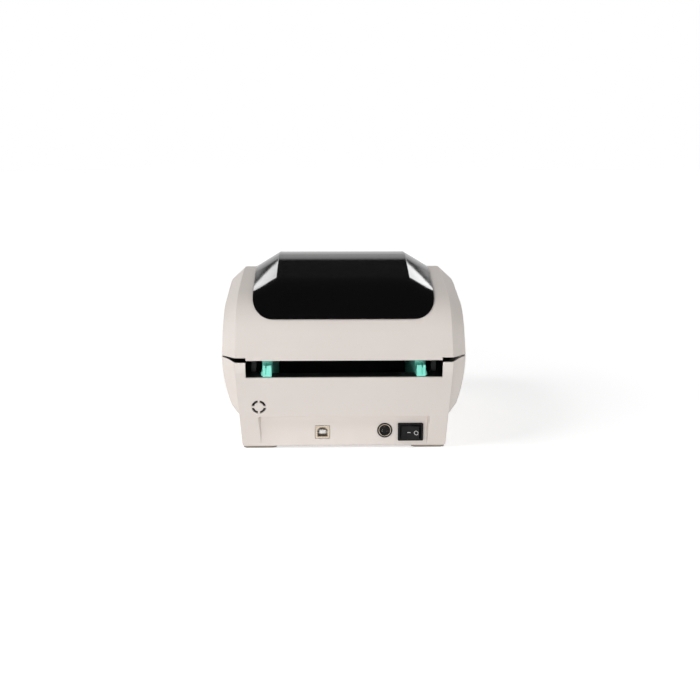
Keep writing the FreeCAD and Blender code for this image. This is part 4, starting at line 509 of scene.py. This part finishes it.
# %% Ring and stroke
RING_OUTER, RING_INNER, RING_ASIDE = 1.8 * MM, 1.4 * MM, -4.5 * MM
STROKE_LONG, STROKE_WIDE, STROKE_ASIDE = 2.6 * MM, 0.5 * MM, 1.4 * MM
MARKS_X, INK_LIFT, INK_THICK = -55.3 * MM, 0.02 * MM, 0.04 * MM
UPRIGHT = Matrix.Rotation(math.radians(90), 3, "X")
rocker_low, rocker_high = (Vector(corner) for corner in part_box("switch_rocker"))
switch_middle = Vector((MARKS_X, rocker_high.y, (rocker_low.z + rocker_high.z) / 2))
marks = bmesh.new()
bmesh.ops.create_circle(marks, segments=56, radius=RING_OUTER)
bmesh.ops.create_circle(marks, segments=56, radius=RING_INNER)
bmesh.ops.bridge_loops(marks, edges=marks.edges[:])
bmesh.ops.translate(marks, vec=(RING_ASIDE, 0, 0), verts=marks.verts[:])
stroke = bmesh.ops.create_grid(marks, x_segments=10, y_segments=2, size=0.5)["verts"]
bmesh.ops.scale(marks, vec=(STROKE_LONG, STROKE_WIDE, 1), verts=stroke)
bmesh.ops.translate(marks, vec=(STROKE_ASIDE, 0, 0), verts=stroke)
bmesh.ops.rotate(marks, matrix=UPRIGHT, verts=marks.verts[:])
bmesh.ops.translate(marks, vec=switch_middle, verts=marks.verts[:])
lay_on("switch_rocker", marks.verts[:], (0, -1, 0), INK_LIFT)
bmesh.ops.solidify(marks, geom=marks.faces[:], thickness=INK_THICK)
fit("rocker_marks", marks, white_ink, "rocker")

# %% [markdown]
# ## Contacts in the two sockets
#
# The data socket has four gold-plated springs, two on each side of its tongue, that bow away from the
# nylon. Each starts as a strip of grid faces, bent into a low arch and given the thickness of the
# sheet. The power socket has three nickel sleeves in its holes. A sleeve is a turned part, so its
# wall profile is drawn once and spun round the axis of each hole.

# %% Gold, plated
plated_gold, tree, shader, place = start_finish("gold_plated_contact", Metallic=1.0)
wear = add(tree, "TexNoise", {"Vector": place, "Scale": 1 / (0.8 * MM), "Detail": 3.0})
tone = add(tree, "Mix", {
    0: wear.outputs["Fac"], 6: linear("d0a24e"), 7: linear("e8c681")}, data_type="RGBA")
gloss = add(tree, "MapRange", {"Value": wear.outputs["Fac"], "To Min": 0.18, "To Max": 0.32})
close_finish(shader, tone, gloss)
print(plated_gold.name, "ready")

# %% Contact springs
CONTACT_WIDE, CONTACT_LONG, CONTACT_THICK = 1.0 * MM, 4.4 * MM, 0.15 * MM
CONTACT_BOW, CONTACT_ASIDE, CONTACT_OFF = 0.35 * MM, 1.25 * MM, 1.65 * MM
TONGUE_MIDDLE = Vector((18.0 * MM, 92.9 * MM, 14.0 * MM))
contacts = bmesh.new()
for side in (-1, 1):
    for x in (-CONTACT_ASIDE, CONTACT_ASIDE):
        strip = bmesh.ops.create_grid(contacts, x_segments=1, y_segments=12, size=0.5)["verts"]
        bmesh.ops.scale(contacts, vec=(CONTACT_WIDE, CONTACT_LONG, 1), verts=strip)
        for point in strip:
            arch = math.cos(math.pi * point.co.y / CONTACT_LONG)
            point.co.z = side * (CONTACT_OFF + CONTACT_BOW * arch)
        bmesh.ops.translate(contacts, vec=TONGUE_MIDDLE + Vector((x, 0, 0)), verts=strip)
bmesh.ops.solidify(contacts, geom=contacts.faces[:], thickness=CONTACT_THICK)
fit("usb_contacts", contacts, plated_gold, "base")

# %% Contact sleeves
INSERT_MIDDLE, PIN_CIRCLE = Vector((-33.9 * MM, 95.4 * MM, 15.3 * MM)), 2.6 * MM
SLEEVE_LONG, SLEEVE_OUTER, SLEEVE_INNER, SLEEVE_ROUND = 5.0 * MM, 0.72 * MM, 0.48 * MM, 0.12 * MM
sleeve_wall = [
    (SLEEVE_OUTER, -SLEEVE_LONG), (SLEEVE_OUTER, -SLEEVE_ROUND),
    ((SLEEVE_OUTER + SLEEVE_INNER) / 2, 0.0),
    (SLEEVE_INNER, -SLEEVE_ROUND), (SLEEVE_INNER, -SLEEVE_LONG)]
sleeves = bmesh.new()
for turn in (30, 150, 270):
    points = [sleeves.verts.new((radius, along, 0)) for radius, along in sleeve_wall]
    lines = [sleeves.edges.new((a, b)) for a, b in zip(points, points[1:] + points[:1])]
    bmesh.ops.spin(
        sleeves, geom=points + lines, cent=(0, 0, 0), axis=(0, 1, 0), angle=2 * math.pi,
        steps=28, use_merge=True)
    across = PIN_CIRCLE * Vector((math.cos(math.radians(turn)), 0, -math.sin(math.radians(turn))))
    # Only the sleeve that was just spun is still near the origin.
    fresh = [v for v in sleeves.verts if v.co.length < 2 * SLEEVE_LONG]
    bmesh.ops.translate(sleeves, vec=INSERT_MIDDLE + across, verts=fresh)
fit("power_sleeves", sleeves, bright_nickel, "base")

# %% [markdown]
# ## Under the print head
#
# The head's ceramic carries a row of tiny heaters under a raised line of brown glass, right above the
# platen, and a bar of black epoxy that covers the driver chips. Both show when the lid is up.
# The glass line is a strip with a domed section; the epoxy bar is a block with generous bevels.
# Real heaters sit about 0.125 mm apart, and their rhythm is drawn at 0.5 mm so that it shows.
# Both pieces hang under the ceramic by less than the room above the platen.

# %% Brown heater glass
brown_glass, tree, shader, place = start_finish("glass_brown_fired", IOR=1.52)
dots = add(tree, "TexWave", {"Vector": place, "Scale": WAVE / (0.5 * MM)}, bands_direction="X")
tone = add(tree, "Mix", {
    0: dots.outputs["Fac"], 6: linear("3b2a1c"), 7: linear("5d452e")}, data_type="RGBA")
gloss = add(tree, "MapRange", {"Value": dots.outputs["Fac"], "To Min": 0.08, "To Max": 0.14})
close_finish(shader, tone, gloss)
print(brown_glass.name, "ready")

# %% Heater line
head_low, head_high = (Vector(corner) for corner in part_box("print_head"))
PLATEN_Y, LINE_INSET = -82.0 * MM, 3 * MM
LINE_WIDE, LINE_HIGH, LINE_ROOT = 1.4 * MM, 0.14 * MM, 0.02 * MM
line = bmesh.new()
strip = bmesh.ops.create_grid(line, x_segments=40, y_segments=8, size=0.5)["verts"]
bmesh.ops.scale(line, vec=(head_high.x - head_low.x - 2 * LINE_INSET, LINE_WIDE, 1), verts=strip)
for point in strip:
    point.co.z = LINE_ROOT - (LINE_HIGH + LINE_ROOT) * math.cos(math.pi * point.co.y / LINE_WIDE)
bmesh.ops.translate(line, vec=(0, PLATEN_Y, head_low.z), verts=strip)
border = [edge for edge in line.edges if edge.is_boundary]
bmesh.ops.contextual_create(line, geom=border)
fit("head_heater_line", line, brown_glass, "head")

# %% Black epoxy, poured
black_epoxy, tree, shader, place = start_finish("epoxy_black_poured", IOR=1.55)
flow = add(tree, "TexNoise", {"Vector": place, "Scale": 1 / (3 * MM), "Detail": 3.0})
tone = add(tree, "Mix", {
    0: flow.outputs["Fac"], 6: linear("161514"), 7: linear("232120")}, data_type="RGBA")
gloss = add(tree, "MapRange", {"Value": flow.outputs["Fac"], "To Min": 0.22, "To Max": 0.4})
bump = add(tree, "Bump", {"Height": flow.outputs["Fac"], "Strength": 0.3, "Distance": 0.2 * MM})
close_finish(shader, tone, gloss, bump)
print(black_epoxy.name, "ready")

# %% Driver cover
COVER_LONG, COVER_DEEP, COVER_HIGH, COVER_ROUND = 100 * MM, 4.4 * MM, 1.0 * MM, 0.8 * MM
COVER_Y, COVER_DROP = -73.0 * MM, 0.3 * MM
cover = bmesh.new()
bmesh.ops.create_cube(cover, size=1.0)
bmesh.ops.scale(cover, vec=(COVER_LONG, COVER_DEEP, COVER_HIGH), verts=cover.verts[:])
low_edges = [e for e in cover.edges if all(v.co.z < 0 for v in e.verts)]
bmesh.ops.bevel(
    cover, geom=low_edges, offset=COVER_ROUND, segments=5, profile=0.5, affect="EDGES", material=-1)
bmesh.ops.translate(cover, vec=(0, COVER_Y, head_low.z - COVER_DROP), verts=cover.verts[:])
fit("head_driver_cover", cover, black_epoxy, "head")

# %% [markdown]
# ## Head springs
#
# Two coil springs press the print head onto the platen, and they shorten when the head gives way to the
# labels, by the 1.3 mm that the plate rises. A spring is wire wound on a mandrel, so a ring of points is
# spun five turns with a small lift at each step, then copied to the other side. The pair replaces the
# solids of the same shape, which are hidden, and gets a mesh of its own.

# %% Coils
SPRING_X, SPRING_Y, COIL_RADIUS, WIRE_RADIUS = 30.0 * MM, -80.0 * MM, 3.6 * MM, 0.45 * MM
COIL_TURNS, STEPS_PER_TURN = 5, 28
COIL_STEPS = COIL_TURNS * STEPS_PER_TURN
spring_low, spring_high = (Vector(corner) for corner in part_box("head_springs"))
spring_height = spring_high.z - spring_low.z
coils = bmesh.new()
bmesh.ops.create_circle(coils, segments=12, radius=WIRE_RADIUS)
bmesh.ops.rotate(coils, matrix=UPRIGHT, verts=coils.verts[:])
bmesh.ops.translate(coils, vec=(COIL_RADIUS, 0, 0), verts=coils.verts[:])
bmesh.ops.spin(
    coils, geom=coils.verts[:] + coils.edges[:], cent=(0, 0, 0), axis=(0, 0, 1),
    angle=COIL_TURNS * 2 * math.pi, steps=COIL_STEPS,
    dvec=(0, 0, (spring_height - 2 * WIRE_RADIUS) / COIL_STEPS))
bmesh.ops.holes_fill(coils, edges=[edge for edge in coils.edges if edge.is_boundary])
bmesh.ops.translate(coils, vec=(SPRING_X, SPRING_Y, spring_low.z + WIRE_RADIUS), verts=coils.verts[:])
second = bmesh.ops.duplicate(coils, geom=coils.verts[:] + coils.edges[:] + coils.faces[:])["geom"]
bmesh.ops.translate(
    coils, vec=(-2 * SPRING_X, 0, 0), verts=[v for v in second if isinstance(v, bmesh.types.BMVert)])
head_coils = fit("head_coils", coils, zinc_steel, "lid")
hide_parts("head_springs")
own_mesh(head_coils)

# %% [markdown]
# ## Ridges on the release tabs
#
# The two tabs that open the lid have upright ridges, so that a finger finds and holds them. They are
# part of the same moulding. Each ridge is a narrow grid laid on the curved tab by rays, thickened
# outwards and rounded along its edges.

# %% Tab ridges
RIDGE_WIDE, RIDGE_TALL, RIDGE_PROUD = 1.0 * MM, 6.4 * MM, 0.5 * MM
RIDGE_SUNK, RIDGE_ROUND, CREST_ANGLE = 0.05 * MM, 0.2 * MM, 1.0
TAB_X, TAB_Y, TAB_Z, RIDGE_PITCH = 100 * MM, -86.0 * MM, 63.0 * MM, 2.4 * MM
ridges = bmesh.new()
for side in (-1, 1):
    for step in (-1.5, -0.5, 0.5, 1.5):
        ridge = bmesh.ops.create_grid(ridges, x_segments=6, y_segments=2, size=0.5)["verts"]
        bmesh.ops.scale(ridges, vec=(RIDGE_TALL, RIDGE_WIDE, 1), verts=ridge)
        bmesh.ops.rotate(ridges, matrix=Matrix.Rotation(math.radians(90), 3, "Y"), verts=ridge)
        bmesh.ops.translate(ridges, vec=(side * TAB_X, TAB_Y + step * RIDGE_PITCH, TAB_Z), verts=ridge)
        lay_on("lid_latch", ridge, (-side, 0, 0), -RIDGE_SUNK)
for side in (-1, 1):
    faces = [f for f in ridges.faces if f.calc_center_median().x * side > 0]
    for face in faces:
        if face.normal.x * side < 0:
            face.normal_flip()
    grown = bmesh.ops.extrude_face_region(ridges, geom=faces)["geom"]
    outer = [v for v in grown if isinstance(v, bmesh.types.BMVert)]
    bmesh.ops.translate(ridges, vec=(side * RIDGE_PROUD, 0, 0), verts=outer)
ridges.normal_update()
crest = [e for e in ridges.edges if len(e.link_faces) == 2 and e.calc_face_angle() > CREST_ANGLE]
bmesh.ops.bevel(
    ridges, geom=crest, offset=RIDGE_ROUND, segments=2, profile=0.5, affect="EDGES", material=-1)
fit("latch_ridges", ridges, mint_abs, "latch")

# %% [markdown]
# ## Rear fairings of the roll guides
#
# Through the rear slot each guide shows as an upright mint strip with a fine groove down its middle.
# Behind the arm's rim the moulding runs in a hollow curve to an upright end over its heel, because the
# lip of the lid swings past there 16.8 mm from the hinge. The section is drawn with that curve 17.3 mm
# from the hinge and extruded on both sides of the groove. The groove's own floor is the same section,
# sunk 1 mm, and a low bridge closes the groove at the heel.

# %% Guide fairings
HINGE_Y, HINGE_Z, SWING = 96.0 * MM, 86.0 * MM, 17.3 * MM
END_Y, FOOT_Z, HEEL_Y, HEEL_TOP = 108.0 * MM, 64.1 * MM, 100.9 * MM, 66.4 * MM
RIM_Y, POST_Y, POST_LOW, POST_TOP = 83.8 * MM, 87.3 * MM, 71.7 * MM, 77.4 * MM
HOLLOW_END, HOLLOW_STEPS, GROOVE_DEEP = math.radians(-116), 16, 1.0 * MM
STRIP_INNER, GROOVE_INNER, GROOVE_OUTER, STRIP_OUTER = 59.05 * MM, 63.0 * MM, 64.0 * MM, 66.2 * MM


def guide_section(sunk):
    reach = SWING + sunk
    first = -math.acos((END_Y - sunk - HINGE_Y) / reach)
    turns = [first + (HOLLOW_END - first) * i / HOLLOW_STEPS for i in range(HOLLOW_STEPS + 1)]
    hollow = [(HINGE_Y + reach * math.cos(t), HINGE_Z + reach * math.sin(t)) for t in turns]
    return [(END_Y - sunk, FOOT_Z), *hollow, (POST_Y - sunk, POST_LOW), (POST_Y - sunk, POST_TOP),
            (RIM_Y, POST_TOP), (RIM_Y, HEEL_TOP), (HEEL_Y, HEEL_TOP), (HEEL_Y, FOOT_Z)]


bridge = [(HEEL_Y, FOOT_Z), (END_Y, FOOT_Z), (END_Y, HEEL_TOP), (HEEL_Y, HEEL_TOP)]
proud, sunken = guide_section(0.0), guide_section(GROOVE_DEEP)
for side, hand in ((1, "left"), (-1, "right")):
    fairing = bmesh.new()
    for inner, outer, section in (
            (STRIP_INNER, GROOVE_INNER, proud), (GROOVE_OUTER, STRIP_OUTER, proud),
            (GROOVE_INNER, GROOVE_OUTER, sunken), (GROOVE_INNER, GROOVE_OUTER, bridge)):
        face = fairing.faces.new([fairing.verts.new((side * inner, y, z)) for y, z in section])
        grown = bmesh.ops.extrude_face_region(fairing, geom=[face])["geom"]
        far_end = [v for v in grown if isinstance(v, bmesh.types.BMVert)]
        bmesh.ops.translate(fairing, vec=(side * (outer - inner), 0, 0), verts=far_end)
    fit(f"{hand}_guide_fairing", fairing, mint_abs, f"{hand}_guide")

# %% [markdown]
# ## Feed button rim and the status lens
#
# The feed button has a fine raised rim that centres the finger, and the status light ends in a low lens
# that spreads its light sideways. Both are round, so a small profile is spun round each axis.

# %% Button rim
BEAD_RADIUS, BEAD_FROM_MIDDLE = 0.32 * MM, 3.6 * MM
button_low, button_high = (Vector(corner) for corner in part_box("feed_button"))
button_middle = (button_low + button_high) / 2
rim = bmesh.new()
bmesh.ops.create_circle(rim, segments=12, radius=BEAD_RADIUS)
bmesh.ops.translate(rim, vec=(BEAD_FROM_MIDDLE, 0, 0), verts=rim.verts[:])
bmesh.ops.spin(
    rim, geom=rim.verts[:] + rim.edges[:], cent=(0, 0, 0), axis=(0, 1, 0), angle=2 * math.pi,
    steps=56, use_merge=True)
bmesh.ops.translate(rim, vec=(button_middle.x, button_low.y, button_middle.z), verts=rim.verts[:])
fit("feed_button_rim", rim, mint_abs, "button")

# %% Status lens
light_low, light_high = (Vector(corner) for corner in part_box("status_light"))
light_middle = (light_low + light_high) / 2
lens = bmesh.new()
dome = [(0.0, -0.7), (0.6, -0.63), (1.1, -0.45), (1.5, -0.15), (1.6, 0.05), (0.0, 0.05)]
points = [lens.verts.new((radius * MM, along * MM, 0)) for radius, along in dome]
lines = [lens.edges.new(pair) for pair in zip(points, points[1:])]
bmesh.ops.spin(
    lens, geom=points + lines, cent=(0, 0, 0), axis=(0, 1, 0), angle=2 * math.pi,
    steps=32, use_merge=True)
bmesh.ops.remove_doubles(lens, verts=lens.verts[:], dist=0.001 * MM)
bmesh.ops.translate(lens, vec=(light_middle.x, light_low.y, light_middle.z), verts=lens.verts[:])
fit("status_lens", lens, green_acrylic, "base")

# %% [markdown]
# ## The studio
#
# The photograph was lit by soft boxes in front of a white backdrop. A pale floor takes the printer's
# shadow, and for the camera, mirrors and glass it is lifted to white, so the picture's background is
# white without more light on the printer. The lift is smaller close by, so that the shadow stays.
# The walls are bright up to about 20 degrees above the horizon and the ceiling over them is dark, so
# the window mirrors little and looks black. The camera itself sees white all round.

# %% Floor
FLOOR_RADIUS, LIFT_NEAR, LIFT_FAR, LIFT_LEAST, LIFT_FULL = 6.0, 0.3, 2.0, 0.58, 1.0
floor_paper, tree, shader, place = start_finish("paper_white_matte", IOR=1.45, Roughness=0.9)
fibre = add(tree, "TexNoise", {"Vector": place, "Scale": 1 / (2 * MM), "Detail": 3.0})
tone = add(tree, "Mix", {
    0: fibre.outputs["Fac"], 6: linear("e6e6e6"), 7: linear("ebebeb")}, data_type="RGBA")
tree.links.new(tone.outputs[2], shader.inputs["Base Color"])
path = add(tree, "LightPath")
seen = add(tree, "Math", {
    0: path.outputs["Is Camera Ray"], 1: path.outputs["Is Glossy Ray"]}, operation="MAXIMUM")
seen = add(tree, "Math", {
    0: seen.outputs[0], 1: path.outputs["Is Transmission Ray"]}, operation="MAXIMUM")
away_from_object = add(tree, "VectorMath", {0: place}, operation="LENGTH")
lift_level = add(tree, "MapRange", {
    "Value": away_from_object.outputs["Value"],
    "From Min": LIFT_NEAR, "From Max": LIFT_FAR, "To Min": LIFT_LEAST, "To Max": LIFT_FULL})
lift_level = add(tree, "Math", {
    0: seen.outputs[0], 1: lift_level.outputs["Result"]}, operation="MULTIPLY")
lift = add(tree, "Emission", {"Color": linear("ffffff"), "Strength": lift_level.outputs[0]})
both = add(tree, "AddShader", {0: shader.outputs["BSDF"], 1: lift.outputs["Emission"]})
tree.links.new(both.outputs[0], tree.nodes["Material Output"].inputs["Surface"])
mesh = bmesh.new()
bmesh.ops.create_circle(mesh, cap_ends=True, radius=FLOOR_RADIUS, segments=96)
floor_mesh = bpy.data.meshes.new("floor")
mesh.to_mesh(floor_mesh)
mesh.free()
floor = bpy.data.objects.new("floor", floor_mesh)
floor_mesh.materials.append(floor_paper)
scene.collection.objects.link(floor)
print("floor", len(floor_mesh.vertices), "points")

# %% Room
WALL_TOP, CEILING_START, CEILING_LEVEL = 0.33, 0.4, 0.03
room = bpy.data.worlds.new("white_room")
room.use_nodes = True
scene.world = room
tree = room.node_tree
direction = add(tree, "TexCoord").outputs["Generated"]
height = add(tree, "SeparateXYZ", {"Vector": direction}).outputs["Z"]
ceiling = add(tree, "MapRange", {
    "Value": height, "From Min": WALL_TOP, "From Max": CEILING_START,
    "To Min": 1.0, "To Max": CEILING_LEVEL}, interpolation_type="SMOOTHSTEP")
path = add(tree, "LightPath")
strength = add(tree, "Mix", {0: path.outputs["Is Camera Ray"], 2: ceiling.outputs["Result"], 3: 1.0})
background = tree.nodes["Background"]
background.inputs["Color"].default_value = linear("ffffff")
tree.links.new(strength.outputs[0], background.inputs["Strength"])
print("walls end", round(math.degrees(math.asin(WALL_TOP)), 1), "degrees above the horizon")

# %% [markdown]
# ## Soft boxes
#
# A low box beside the camera reaches into the rear slot, and two higher ones at the sides shape the
# lid, the left one stronger. All three stand where the flat of the window does not mirror them.
# Behind the printer a dim panel puts the grey band on the window's crown, and two small strips put
# the bright streaks on its side facets. Their places come from mirroring the line of sight at those
# facets, as a photographer finds them by moving the lamp until the streak appears, and each strip is
# rolled about its own axis until its streak slants like the photograph's.

# %% Soft boxes
def soft_box(name, place, size, watts, aim=(0, 0, 70 * MM), roll=0):
    lamp = bpy.data.lights.new(name, "AREA")
    lamp.shape, lamp.size, lamp.size_y, lamp.energy = "RECTANGLE", size[0], size[1], watts
    stand = bpy.data.objects.new(name, lamp)
    stand.location = place
    facing = (Vector(aim) - Vector(place)).to_track_quat("-Z", "Y")
    stand.rotation_euler = (facing @ Quaternion((0, 0, 1), math.radians(roll))).to_euler()
    scene.collection.objects.link(stand)
    print(name, watts, "W")


STRIP_SIZE = (0.126, 0.29)
soft_box("front_box", (0.45, 1.4, 0.08), (0.9, 0.14), 5.6)
soft_box("key_box", (1.1, 0.55, 1.15), (0.7, 0.7), 10.5)
soft_box("fill_box", (-1.1, 0.55, 1.05), (0.7, 0.7), 4.5)
soft_box("crown_panel", (0, -1.34, 0.842), (0.5, 0.29), 0.43, aim=(0, -10 * MM, 149 * MM))
soft_box(
    "left_strip", (0.35, -0.983, 0.705), STRIP_SIZE, 0.45,
    aim=(66 * MM, 35 * MM, 136 * MM), roll=-27)
soft_box(
    "right_strip", (-0.368, -0.985, 0.692), STRIP_SIZE, 0.55,
    aim=(-66 * MM, 35 * MM, 136 * MM), roll=30)
scene.view_settings.view_transform = "Standard"
